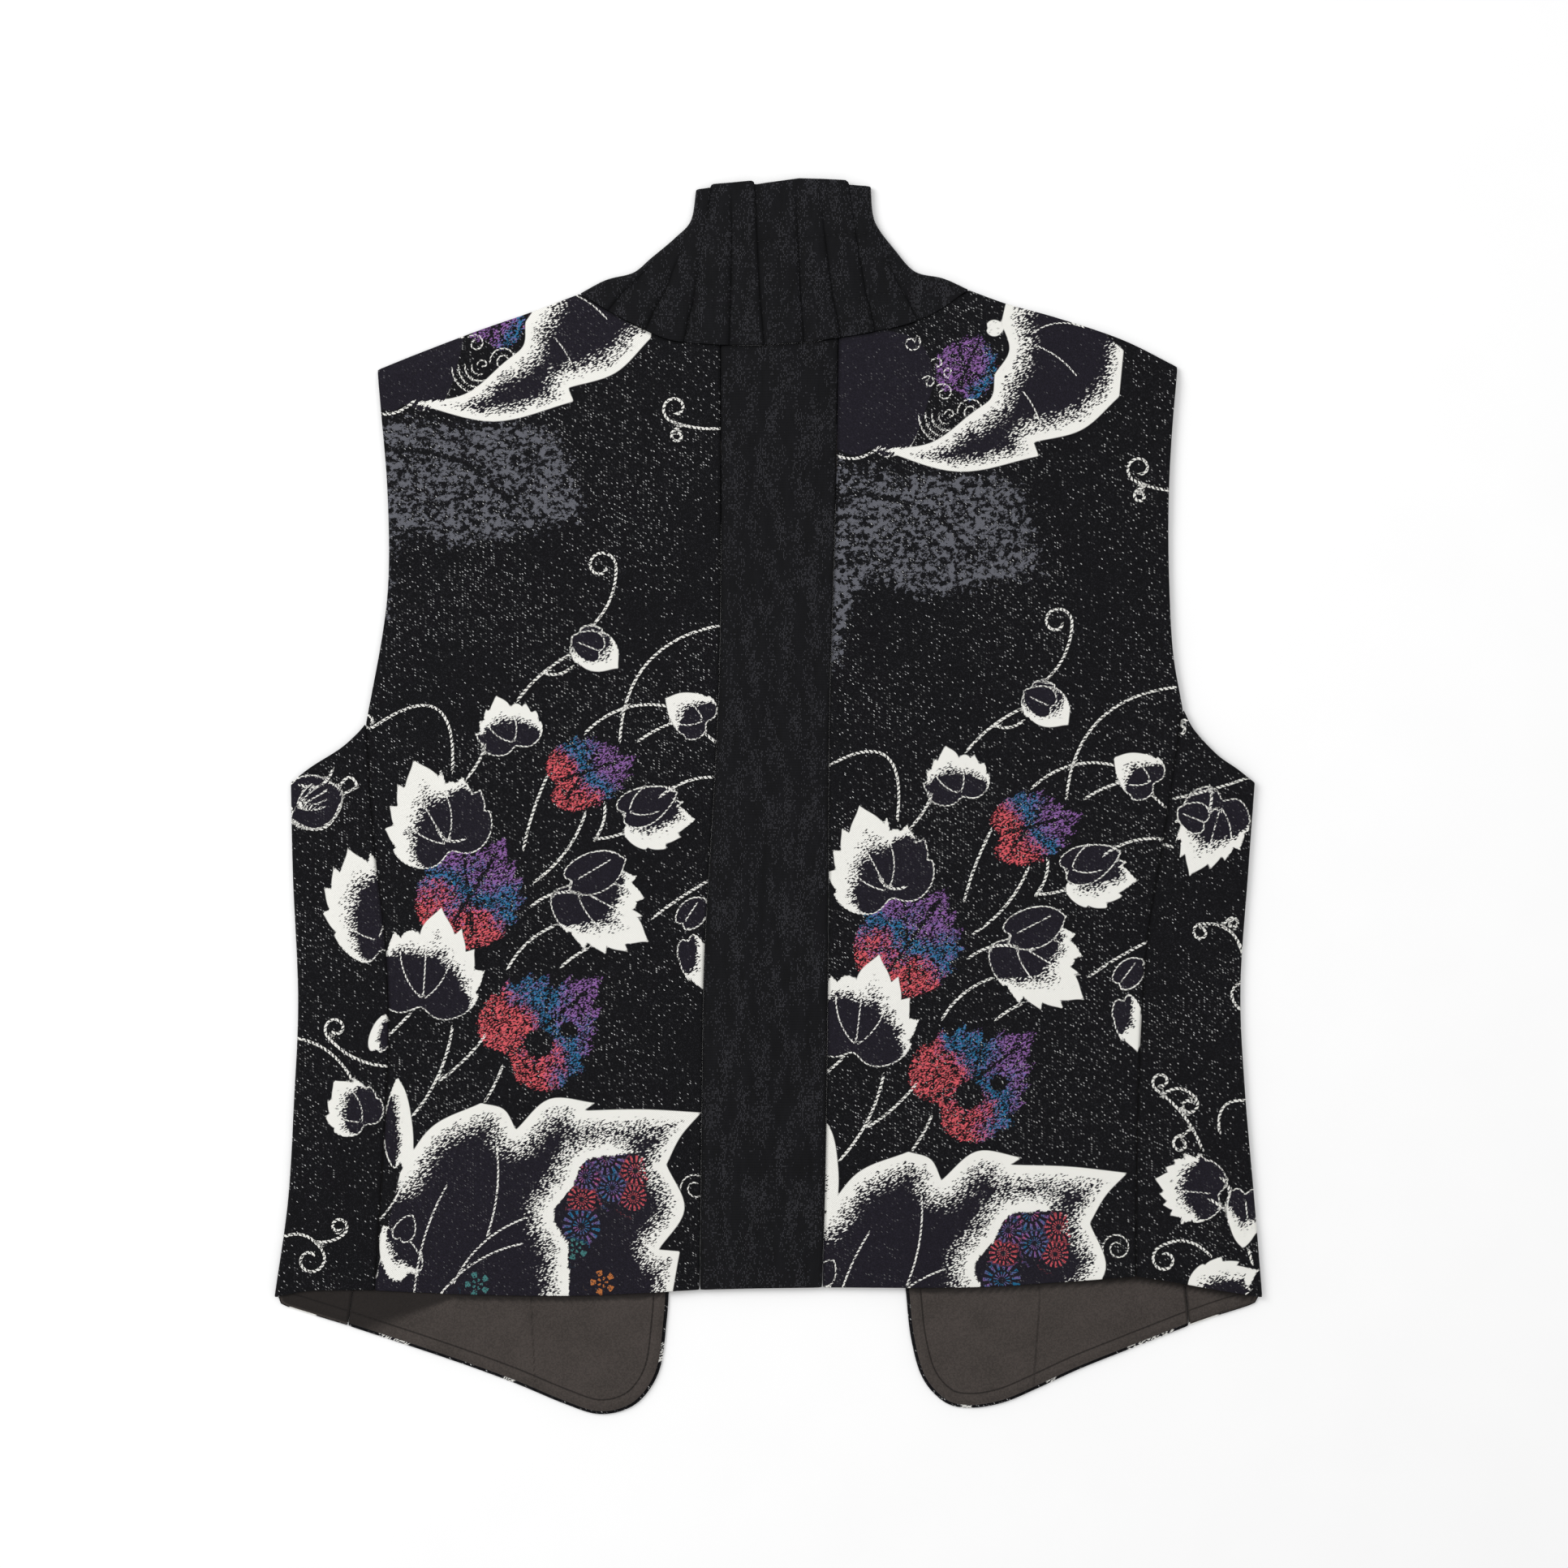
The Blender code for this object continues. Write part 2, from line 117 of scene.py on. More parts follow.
# Seams: how deep and how wide the cloth dips there, and how far it puckers
SEAM_DEPTH = 0.3
SEAM_WIDTH = 1.6
PANEL_PUCKER = 0.22
PLAIN_PUCKER = 0.2

# The turn of a side panel and of the collar at a folded edge
SIDE_ON_BACK = 50
SIDE_ON_FRONT = 40
TURN_STEPS = 8
TURN_ROOM = 0.6
TURN_RUN = 4  # the width of cloth that the turn takes

# The lining's row of stitches and its dart seams
ROW_DEPTH = 0.16
ROW_WIDTH = 0.9
ROW_TOP = -254  # the row is sewn where the lining shows, below the back's hem
ROW_BOTTOM = -330
DART_DEPTH = 0.12
DART_WIDTH = 0.8
DARTS = {
    "left": ((-125, -240), (-123, -262), (-120, -330)),
    "right": ((139, -240), (141, -262), (136, -330)),
}

COLLAR_HEIGHT = 88
COLUMNS_TO_A_PLEAT = 15

FLOOR_HALF = 4.0  # in metres
FLOOR_LOW = -0.0004  # in metres
VIEW_CENTRE = (8.1, 6.5)  # the middle of the view on the floor

# Seams and edges as they lie. Each is a smooth curve through rows of (x, y)
LINES = {
    "neck_left": ((-98, 261), (-82.5, 251.5), (-67, 243.5), (-50, 236.5), (-24.8, 234)),
    "neck_centre": ((-24.8, 234), (-2.5, 234.2), (18.5, 235.6), (36.3, 237.7)),
    "neck_right": ((36.3, 237.7), (54.5, 241), (73, 245.2), (87.5, 251.5), (104, 263)),
    "shoulder_left": ((-98, 261), (-124, 251.2), (-150.5, 242), (-182.5, 229.8), (-203, 221.5)),
    "shoulder_right": ((104, 263), (124.5, 255.6), (149.5, 248.7), (183.5, 237.3), (212.4, 223)),
    "armhole_left": ((-203, 221.5), (-201, 199), (-197.8, 160), (-197, 118.7), (-200, 86), (-208.8, 38)),
    "armhole_right": ((212.4, 223), (209.4, 188), (207.7, 152), (208, 112), (210, 75), (215, 45.5)),
    "underarm_left": ((-208.8, 38), (-213, 33), (-222, 25), (-237, 15.5), (-247.9, 7)),
    "underarm_right": ((215, 45.5), (220.5, 35), (232.5, 22), (243, 14.5), (252.5, 7)),
    "seam_left": ((-208.8, 38), (-205, -20), (-198.5, -80), (-197.2, -130), (-200.2, -190), (-204.3, -256.4)),
    "seam_right": ((215, 45.5), (205.5, -20), (197, -72), (193, -130), (191.2, -190), (190.6, -248.8)),
    "side_left": ((-247.9, 7), (-246.9, -41), (-244.2, -105), (-246.3, -157), (-249.5, -210), (-256.5, -260)),
    "side_right": ((252.5, 7), (249, -41), (245.1, -100), (247.4, -152), (252.4, -210), (256.5, -260)),
    "strip_left": ((-24.8, 234), (-24.8, 100), (-27, 25), (-33, -80), (-34.6, -167), (-35.6, -256)),
    "strip_right": ((36.3, 237.7), (34.8, 150), (31.6, 35), (31.1, -70), (30, -170), (28, -254.8)),
    "hem_left": ((-204.3, -256.4), (-152, -258.6), (-95, -259), (-35.6, -256)),
    "hem_centre": ((-35.6, -256), (-4, -255.3), (28, -254.8)),
    "hem_right": ((28, -254.8), (101, -254.8), (148, -252.3), (190.6, -248.8)),
    "hem_side_left": ((-204.3, -256.4), (-218, -256.2), (-240, -256.8), (-256.5, -260)),
    "hem_side_right": ((190.6, -248.8), (210, -251.8), (236, -256.5), (256.5, -260)),
    "under_hem_side_left": ((-256.5, -260), (-252, -264.3), (-237, -269.3), (-218.5, -275)),
    "under_hem_side_right": ((256.5, -260), (251, -264), (234, -269.6), (218.5, -275)),
    "under_seam_left": ((-211, 30), (-206, -60), (-204, -140), (-210, -215), (-218.5, -275)),
    "under_seam_right": ((218, 36), (213, -55), (210, -140), (213, -215), (218.5, -275)),
    "under_arm_left": ((-211, 30), (-222, 19), (-235, 10.5), (-247.9, 7)),
    "under_arm_right": ((218, 36), (228, 22), (240, 11.5), (252.5, 7)),
    "front_hem_left": ((-218.5, -275), (-167.5, -291.9), (-134, -304), (-107, -315.2), (-89, -320.9),
                       (-74, -318.5), (-63.5, -310.5), (-56, -296), (-52.8, -272), (-51.6, -256)),
    "front_hem_right": ((218.5, -275), (187.5, -287.2), (161.5, -297.6), (140, -307.5), (122, -315),
                        (105, -317.7), (91.5, -314.7), (80, -302), (74, -281), (71.3, -256)),
    "front_edge_left": ((-51.6, -256), (-46, -150), (-36, 0), (-26, 120), (-22, 196)),
    "front_edge_right": ((71.3, -256), (64, -150), (52, 0), (38, 120), (31, 197)),
    "front_neck_left": ((-98, 261), (-86, 246), (-66, 224), (-42, 203), (-22, 196)),
    "front_neck_right": ((104, 263), (92, 248), (72, 225), (49, 204), (31, 197)),
    "front_armhole_left": ((-203, 221.5), (-195, 190), (-191, 150), (-191, 110), (-197, 66), (-211, 30)),
    "front_armhole_right": ((212.4, 223), (203.5, 190), (200, 150), (200.5, 110), (206, 70), (218, 36)),
    "collar_left": ((-98, 261), (-84.7, 268), (-70.5, 271.8), (-61, 279.5), (-48.5, 290),
                    (-40.3, 299), (-37.5, 315)),
    "collar_right": ((104, 263), (91, 268.8), (76, 272.5), (65, 284.5), (57, 295), (54, 303), (53, 316.6)),
    "collar_opening_left": ((-22, 196), (-19, 240), (-14, 286)),
    "collar_opening_right": ((31, 197), (28.5, 240), (24, 287)),
}

COLLAR_TOP = ((-37.5, 315), (-29.8, 316), (-29, 317.9), (-8.2, 319.6), (-7.4, 317.6), (-1, 318.6),
              (16, 320.9), (27, 320.6), (40.6, 319.8), (41.4, 317.6), (53, 316.6))

# The collar's knife pleats: the fold line's x at the neck seam, at the lower and the upper sewn row and
# at the top, and its step at the same four heights
Pleat = namedtuple("Pleat", "x_neck x_low x_high x_top neck low high top")
PLEATS = (
    Pleat(-84, -70, -43, -35, 0.9, 0.6, 0.0, 0.0),
    Pleat(-64.5, -55.5, -40, -33, 1.0, 0.8, 0.0, 0.0),
    Pleat(-44.7, -38.5, -36, -30, 1.0, 0.8, 0.15, 0.6),
    Pleat(-21.1, -19.9, -19.5, -19.5, 1.0, 1.0, 0.8, 0.0),
    Pleat(-3, -5.7, -6.2, -7.9, 1.0, 1.0, 0.9, 0.9),
    Pleat(17.7, 16.4, 14.3, 13.5, 1.0, 1.0, 0.8, 0.0),
    Pleat(36.8, 30.6, 26.7, 25.5, 1.0, 1.0, 0.8, 0.0),
    Pleat(54.6, 44.8, 42.2, 41, 1.0, 1.0, 0.8, 0.9),
    Pleat(76.7, 59.9, 50.5, 47.5, 1.0, 0.8, 0.2, 0.1),
)
PLEAT_LEVELS = (0, 0.31, 0.72, 1)  # shares of the collar's height at which the pleats are given

# Soft folds: a ridge, or with a negative height a trough, from (x1, y1) to (x2, y2)
Fold = namedtuple("Fold", "x1 y1 x2 y2 height width")
LARGE_FOLDS = (
    Fold(188, -256, 226, -262, 2.4, 26),
    Fold(-186, -78, -105, -52, 0.9, 16),
    Fold(-158, 196, -118, 118, 0.8, 15),
    Fold(-70, -128, -58, -250, 0.7, 13),
    Fold(-10, -70, -12, -240, 0.8, 9),
    Fold(14, 205, 8, 60, 0.6, 8),
    Fold(70, 218, 112, 132, 0.9, 15),
    Fold(184, -58, 108, -36, 0.9, 17),
    Fold(62, -110, 74, -240, 0.8, 15),
    Fold(-226, -40, -223, -190, 0.6, 9),
)
SMALL_FOLDS = (
    Fold(-12, 190, -16, 96, 0.45, 3.2),
    Fold(2, 150, 4, 40, -0.35, 3.0),
    Fold(24, 226, 22, 138, 0.4, 3.4),
    Fold(-16, 60, -20, -60, 0.4, 3.0),
    Fold(14, 30, 12, -86, 0.45, 3.4),
    Fold(0, -30, -6, -150, -0.35, 2.8),
    Fold(20, -110, 18, -210, 0.35, 3.2),
    Fold(-26, -130, -27, -228, 0.35, 2.8),
    Fold(-190, 70, -160, 58, 0.4, 6),
    Fold(-120, 60, -60, 88, 0.4, 8),
    Fold(-180, 6, -140, -20, -0.35, 7),
    Fold(-60, 20, -40, -60, 0.35, 6),
    Fold(-150, -150, -120, -240, 0.45, 8),
    Fold(-190, -180, -176, -250, -0.4, 7),
    Fold(-88, 200, -60, 130, 0.4, 7),
    Fold(-110, -120, -60, -110, 0.35, 7),
    Fold(60, 90, 96, 20, 0.4, 8),
    Fold(120, 180, 160, 90, 0.45, 9),
    Fold(196, 150, 186, 84, 0.4, 6),
    Fold(160, 30, 190, -10, -0.4, 8),
    Fold(60, 10, 48, -80, 0.35, 6),
    Fold(130, -110, 140, -220, 0.5, 9),
    Fold(176, -150, 180, -230, -0.4, 7),
    Fold(90, -150, 110, -240, 0.4, 7),
    Fold(226, -30, 222, -140, 0.4, 6),
    Fold(232, -160, 238, -230, 0.5, 6),
    Fold(-232, -200, -228, -250, 0.5, 6),
)
LINING_FOLDS = (
    Fold(-190, -264, -120, -280, 0.22, 7),
    Fold(-150, -268, -100, -300, -0.18, 8),
    Fold(-80, -262, -84, -306, 0.2, 9),
    Fold(190, -262, 130, -280, 0.22, 7),
    Fold(110, -262, 104, -302, 0.2, 9),
    Fold(160, -270, 120, -300, -0.16, 8),
)

# The woven vine. Angles are in degrees, anticlockwise from x. A leaf's tip points along turn, and its
# pale rim lies towards pale, as deep as reach. Without a reach, the leaf is a dark lobe with a dashed edge
Leaf = namedtuple("Leaf", "x y length width turn pale reach teeth veins cleft", defaults=(0,))
ColouredLeaf = namedtuple("ColouredLeaf", "x y length width turn teeth warm cool cleft", defaults=(0,))
Flower = namedtuple("Flower", "x y radius hue")
Ring = namedtuple("Ring", "x y radius")
Curl = namedtuple("Curl", "x y radius turns start")

# A stem goes from its first to its second place, bowed to its left by a share of its length. It may end
# in a curl of this radius, to its left, or with a negative radius to its right
Stem = namedtuple("Stem", "x1 y1 x2 y2 bow curl", defaults=(0,))

VINE_LEAVES = (
    Leaf(-89, 75, 28, 22, -38, -62, 13, 1, 0),
    Leaf(-94, 79, 18, 16, 150, 0, 0, 0, 1),
    Leaf(-136, 38, 31, 34, 112, 88, 17, 4, 2, -26),
    Leaf(-174, -7, 56, 54, 112, 148, 25, 4, 3, -34),
    Leaf(-42, 44, 27, 25, 150, 128, 16, 1, 2),
    Leaf(-57, -13, 38, 29, 2, -75, 16, 3, 0),
    Leaf(-62, -4, 32, 20, 22, 0, 0, 0, 2),
    Leaf(-84, -59, 55, 46, -36, -44, 25, 4, 3, 36),
    Leaf(-89, -39, 33, 21, 22, 0, 0, 0, 1),
    Leaf(-38, -87, 30, 15, -72, -50, 16, 2, 0),
    Leaf(-39, -60, 19, 14, 48, 0, 0, 0, 1),
    Leaf(-175, -86, 58, 56, 78, 62, 24, 4, 3, 27),
    Leaf(-192, -170, 48, 15, 92, 12, 24, 0, 0),
)
SWIRL_LEAVES = (
    Leaf(-193, -236, 30, 21, 118, 226, 15, 1, 0),
    Leaf(-188, -224, 15, 11, 60, 0, 0, 0, 0),
)
VINE_COLOURED = (
    ColouredLeaf(-91, 14, 52, 41, 18, 5, 212, 0.1),
    ColouredLeaf(-152, -47, 64, 60, 58, 5, 245, 0.12, 30),
    ColouredLeaf(-112, -116, 72, 64, 40, 5, 210, 0.07, 34),
)
VINE_HOLES = (Ring(-119, -128, 7.0), Ring(-104, -121, 4.0))

VINE_STEMS = (
    Stem(-90, 90, -79, 120, -0.1, 8),
    Stem(-102, 74, -130, 50, -0.06),
    Stem(-102, 67, -116, 64, 0.14),
    Stem(-147, 26, -156, 10, 0.05),
    Stem(-164, 13, -205, 36, -0.52, -4),
    Stem(-95, 33, -53, 47, 0.13),
    Stem(-77, 29, -24, 89, 0.2),
    Stem(-67, 29, -50, 38, 0.04),
    Stem(-32, 32, -26, 27, 0),
    Stem(-56, 0, -26, 10, 0.1),
    Stem(-85, -4, -90, -22, 0.1),
    Stem(-90, -22, -73, -18, -0.05),
    Stem(-95, -9, -121, -44, 0.08),
    Stem(-115, 10, -127, -27, -0.03),
    Stem(-123, -57, -98, -50, 0.12),
    Stem(-111, -67, -135, -89, -0.09),
    Stem(-94, -79, -107, -88, -0.04),
    Stem(-60, -63, -30, -43, 0.02),
    Stem(-171, -19, -158, -22, -0.2),
    Stem(-186, -113, -197, -124, 0),
    Stem(-164, -120, -184, -165, 0.07),
    Stem(-147, -124, -170, -147, 0.04),
    Stem(-138, -140, -147, -158, 0.03),
    Stem(-25, 191, -51, 195, 0.06, -7),
    Stem(-44, 193, -49, 190, 0, 3.5),
    Stem(-212, 203, -184, 205, -0.2),
)
VINE_VEINS = (
    Stem(-105, 262, -84, 248, 0.07),
    Stem(-111, 238, -102, 224, 0.05),
    Stem(-108, 268, -81, 273, 0.14),
)

# Small spirals and waves beside the shoulder leaf
VINE_CURLS = (
    Curl(-170, 260, 5.0, 1.1, 20),
    Curl(-156, 250, 3.4, 0.9, 200),
    Curl(-150, 246, 3.0, 0.9, 300),
    Curl(-160, 240, 3.6, 1.0, 150),
    Curl(-152, 235, 5.0, 1.1, 100),
    Curl(-137, 226, 7.5, 1.4, 40),
    Curl(-148, 224, 3.0, 0.8, 250),
    Curl(-150, 223, 4.0, 0.33, 170),
    Curl(-150, 223, 7.4, 0.33, 172),
    Curl(-150, 223, 10.8, 0.32, 176),
    Curl(-150, 223, 14.2, 0.3, 182),
    Curl(-38, -203, 8, 1.4, 60),
)

HEM_VEINS = (
    Stem(-189, -199, -202, -220, 0.05),
    Stem(-141, -181, -146, -228, 0.06),
    Stem(-167, -202, -184, -262, -0.06),
    Stem(-127, -219, -163, -252, -0.1),
    Stem(-128, -232, -170, -258, -0.09),
)

# A great leaf goes from corner to corner in arcs that bulge outwards by a share of their length, with a
# pale rim of this depth. It may have a window, whose scalloped edge is pale on its outer side
Corner = namedtuple("Corner", "x y bulge reach")
GreatLeaf = namedtuple("GreatLeaf", "corners window")
HEM_LEAF = GreatLeaf(
    (
        Corner(-215, -330, 0.02, 0),
        Corner(-191, -195, 0.13, 18),
        Corner(-149, -159, 0.2, 18),
        Corner(-131, -173, 0.22, 20),
        Corner(-90, -159, 0, 20),
        Corner(-96, -163, 0.02, 20),
        Corner(-35, -164, -0.06, 16),
        Corner(-53, -191, 0.26, 17),
        Corner(-57, -235, 0, 14),
        Corner(-46, -236, 0.03, 14),
        Corner(-70, -330, 0, 0),
    ),
    (
        Corner(-92, -330, 0.04, 19),
        Corner(-104, -232, 0.3, 19),
        Corner(-102, -203, 0.24, 19),
        Corner(-80, -186, 0, 19),
    ),
)
SHOULDER_LEAF = GreatLeaf(
    (
        Corner(-184, 204, 0.12, 11),
        Corner(-101, 205, 0, 16),
        Corner(-104, 212, 0.12, 17),
        Corner(-61, 238, 0, 12),
        Corner(-60, 262, 0, 0),
        Corner(-122, 312, -0.05, 20),
        Corner(-124, 273, -0.22, 19),
        Corner(-126, 246, -0.2, 16),
        Corner(-136, 226, -0.13, 12),
    ),
    (),
)
SHOULDER_KNOB = Leaf(-127, 270, 9, 8.5, 0, 0, 0, 0, 0)
SHOULDER_FLOWER = ColouredLeaf(-140, 251, 38, 36, 70, 5, -12, 0.4)
CLOUD = ((-214, 262), (-196, 266), (-168, 262), (-158, 244), (-162, 222), (-168, 206), (-180, 200),
         (-188, 204), (-196, 200), (-214, 206))
GREY_PATCH = ((-216, 207), (-170, 203), (-120, 202), (-99, 190), (-89, 160), (-85, 138), (-100, 134),
              (-120, 128), (-150, 120), (-172, 122), (-182, 126), (-186, 108), (-190, 84), (-216, 78))
GREY_GAP = ((-216, 178), (-190, 180), (-165, 176), (-146, 166), (-132, 150))
HEM_FLOWERS = (
    Flower(-84, -187, 10.5, 0.42),
    Flower(-69, -194, 8, 0.12),
    Flower(-95, -197, 8.5, 0.38),
    Flower(-81, -203, 7.5, 0.46),
    Flower(-97, -209, 7.5, 0.1),
    Flower(-70, -208, 7, 0.06),
    Flower(-97, -223, 10, 0.48),
    Flower(-100, -234, 6.5, 0.82),
    Flower(-86, -252, 6.5, 1.0),
    Flower(-151, -253, 6.5, 0.82),
)

LEFT_SIDE_LEAVES = (
    Leaf(-235, -2, 30, 28, 20, 0, 0, 0, 5),
    Leaf(-209, -55, 60, 46, 108, 150, 21, 4, 2),
    Leaf(-201, -123, 20, 11, 75, 180, 12, 0, 0),
    Leaf(-217, -160, 31, 29, 125, 165, 14, 3, 2),
    Leaf(-277, -262, 20, 17, 180, 270, 13, 0, 0),
)
LEFT_SIDE_STEMS = (
    Stem(-197, -140, -229, -124, 0.11, -6),
    Stem(-247, -125, -216, -147, 0.13),
    Stem(-256, -231, -231, -236, 0.25, -8),
    Stem(-234, -231, -220, -227, -0.1, 5),
    Stem(-243, 6, -226, 14, -0.25),
    Stem(-247, -12, -222, -4, -0.35),
    Stem(-222, 6, -213, 5, 0.5),
    Stem(-213, 5, -221, 1, 0),
)
RIGHT_SIDE_LEAVES = (
    Leaf(228, -20, 47, 36, 246, 252, 17, 4, 3),
    Leaf(220, -10, 17, 16, 150, 0, 0, 0, 1),
    Leaf(218, -203, 37, 37, 166, 182, 17, 5, 1),
    Leaf(247, -219, 31, 19, 268, 262, 14, 0, 1),
    Leaf(236, -252, 38, 26, 20, 95, 18, 3, 0),
    Leaf(294, -266, 24, 18, 0, 270, 13, 0, 0),
)
RIGHT_SIDE_STEMS = (
    Stem(196, -25, 209, -26, 0.08),
    Stem(211, -1, 252, 11, -0.02),
    Stem(229, 5, 229, -6, 0.08),
    Stem(218, 40, 213, 39, 0, 4),
    Stem(246, -84, 224, -66, -0.24, 4.5),
    Stem(236, -67, 240, -63, 0.1, -3),
    Stem(247, -95, 244, -110, -0.33),
    Stem(225, -183, 201, -152, -0.08, -5),
    Stem(204, -155, 222, -157, 0.25, -5),
    Stem(219, -172, 213, -176, 0.1, 4.5),
    Stem(234, -174, 250, -158, 0.34),
    Stem(235, -198, 238, -210, 0.2),
    Stem(229, -209, 239, -217, 0.05),
    Stem(249, -235, 251, -242, 0),
    Stem(229, -238, 202, -234, -0.2, 7),
)
SPRIGS = {"left": (LEFT_SIDE_LEAVES, LEFT_SIDE_STEMS), "right": (RIGHT_SIDE_LEAVES, RIGHT_SIDE_STEMS)}

# Leaves that reach the fronts' turned edge
FRONT_LEAVES = (
    Leaf(-190, -275, 26, 21, -18, 252, 11, 2, 0),
    Leaf(-131, -297, 14, 16, -20, 250, 7, 0, 0),
    Leaf(-62, -290, 14, 18, 280, 350, 7, 0, 0),
    Leaf(202, -273, 44, 22, 21, 291, 13, 4, 0),
    Leaf(146, -296, 14, 16, 20, 290, 8, 0, 0),
    Leaf(104, -308, 12, 20, 0, 270, 7, 0, 0),
)

# Where a panel's cloth lies on the vine: x, y and its turn in degrees
REPEATS = {
    "back_left": (0, 0, 0),
    "back_right": (228.5, -27.5, -3.1),
    "front_left": (0, -12, 2),
    "front_right": (228.5, -12, 2),
}
STEM_HALF = 0.72  # half the width of a tendril's woven line
VEIN_HALF = 0.38
HEM_VEIN_HALF = 0.5
CURL_TURNS = 0.95  # how often a stem's curl winds
FAR = 6.0  # a field's value where no motif is near
BESIDE = 3.0  # how far outside a leaf's outline its distance is kept
WINDOW_WIDTH = (80, 0)  # from a great leaf's window to the far side of what lies in it
VINE_PIVOT = (-110, -30)  # the place about which a repeat of the vine is turned
TURNED_EDGE_PALE = 0.55  # how dense the pale yarn is where the fronts' edge is turned


def colour_of(red, green, blue):
    """The linear colour of an sRGB colour given in 0 to 255."""
    parts = (red / 255, green / 255, blue / 255)
    return tuple(p / 12.92 if p <= 0.04045 else ((p + 0.055) / 1.055) ** 2.4 for p in parts)


def tint(name, description, red, green, blue):
    return FloatVectorProperty(
        name=name, description=description, subtype="COLOR", size=3, min=0, max=1,
        default=colour_of(red, green, blue),
    )


class WAISTCOAT_PG_settings(PropertyGroup):
    ground: tint("Ground", "Black ground of the patterned cloth", 12, 12, 14)
    charcoal: tint("Charcoal", "Inside of the woven leaves", 27, 25, 32)
    pale: tint("Pale", "White yarn of rims, stems and flecks", 238, 237, 231)
    grey: tint("Grey", "Mottled patch at the shoulder", 100, 101, 108)
    red: tint("Red", "Warm end of the coloured leaves", 212, 90, 98)
    blue: tint("Blue", "Middle of the coloured leaves", 34, 112, 152)
    purple: tint("Purple", "Cool end of the coloured leaves", 137, 95, 158)
    teal: tint("Teal", "Small leaves in the hem leaf's window", 72, 132, 130)
    orange: tint("Orange", "Small buds in the hem leaf's window", 196, 118, 62)
    plain: tint("Plain black", "Centre strip and collar", 13, 13, 15)
    lining: tint("Lining", "Taupe lining", 66, 60, 57)
    floor: tint("Floor", "Floor under the garment", 250, 250, 250)
    thread: FloatProperty(
        name="Thread", description="Width of one woven thread", default=0.42 * MM, min=0.1 * MM,
        unit="LENGTH",
    )
    stitch_pitch: FloatProperty(
        name="Stitch pitch", description="Distance from one stitch to the next", default=2.8 * MM,
        min=1 * MM, unit="LENGTH",
    )
    lining_stitch_in: FloatProperty(
        name="Lining stitch", description="From the lining's edge to its row of stitches", default=6 * MM,
        min=1 * MM, unit="LENGTH",
    )
    camera_height: FloatProperty(
        name="Camera height", description="Camera above the floor", default=1.8, min=0.3, unit="LENGTH",
    )
    view_width: FloatProperty(
        name="View width", description="Width of floor that the camera sees", default=0.8153, min=0.3,
        unit="LENGTH",
    )


# Curves and surfaces


def smooth(rows, steps):
    """steps + 1 points, evenly spaced along the Catmull-Rom curve through the rows."""
    knots = np.array(rows, float)
    ends = np.vstack([2 * knots[0] - knots[1], knots, 2 * knots[-1] - knots[-2]])
    t = np.linspace(0, 1, 25)[:, None]
    spans = []
    for a, b, c, d in zip(ends, ends[1:], ends[2:], ends[3:]):
        spans.append(b + 0.5 * t * (c - a + t * (2 * a - 5 * b + 4 * c - d + t * (3 * (b - c) + d - a))))
    return spaced(np.vstack(spans), np.linspace(0, 1, steps + 1))


def shares_of(points):
    """How far along its polyline each point lies, from 0 to 1."""
    run = np.concatenate([[0], np.cumsum(np.linalg.norm(np.diff(points, axis=0), axis=1))])
    return run / run[-1]


def spaced(points, shares):
    """Points of a polyline at these shares of its length."""
    run = shares_of(points)
    return np.column_stack([np.interp(shares, run, points[:, k]) for k in range(points.shape[1])])


def length_of(points):
    return float(np.linalg.norm(np.diff(points, axis=0), axis=1).sum())


def line(name):
    return smooth(LINES[name], 120)


def joined(*curves):
    """Curves end to end, each starting where the last one ends."""
    return np.vstack([curves[0]] + [curve[1:] for curve in curves[1:]])


def steps_for(length, step):
    """A count of steps of about this size, and a multiple of UNDER_STEP."""
    return UNDER_STEP * max(1, round(length / step / UNDER_STEP))


def patch(bottom, top, left, right):
    """The four-sided Coons surface between its edges: rows from bottom to top, columns from left to right."""
    u = ((shares_of(bottom) + shares_of(top)) / 2)[None, :, None]
    v = ((shares_of(left) + shares_of(right)) / 2)[:, None, None]
    between_rows = (1 - v) * bottom[None] + v * top[None]
    between_columns = (1 - u) * left[:, None] + u * right[:, None]
    corners = (1 - v) * ((1 - u) * bottom[0] + u * bottom[-1]) + v * ((1 - u) * top[0] + u * top[-1])
    return between_rows + between_columns - corners


def even_patch(sides, insets, step):
    """A patch with even steps between four free curves, drawn in from each by its own distance.

    The bottom and the top run from left to right, and the right side and the left side upwards.
    """
    bottom, right, top, left = sides
    across = steps_for(max(length_of(bottom), length_of(top)), step)
    up = steps_for(max(length_of(left), length_of(right)), step)
    in_bottom, in_right, in_top, in_left = insets
    bottom = moved_in(trimmed(bottom, in_left, in_right, across), in_bottom)
    top = moved_in(trimmed(top, in_left, in_right, across), -in_top)
    left = moved_in(trimmed(left, in_bottom, in_top, up), -in_left)
    right = moved_in(trimmed(right, in_bottom, in_top, up), in_right)
    for row, end in ((bottom, 0), (top, -1)):
        for column, start in ((left, 0), (right, -1)):
            row[start] = column[end] = (row[start] + column[end]) / 2
    return patch(bottom, top, left, right)


def trimmed(curve, start, end, steps):
    """Even points of a curve without this much of its start and its end."""
    length = length_of(curve)
    return spaced(curve, np.linspace(start / length, 1 - end / length, steps + 1))


def moved_in(curve, distance):
    """The curve moved to its left, or with a negative distance to its right."""
    way = unit(np.gradient(curve, axis=0))
    return curve + distance * np.column_stack([-way[:, 1], way[:, 0]])


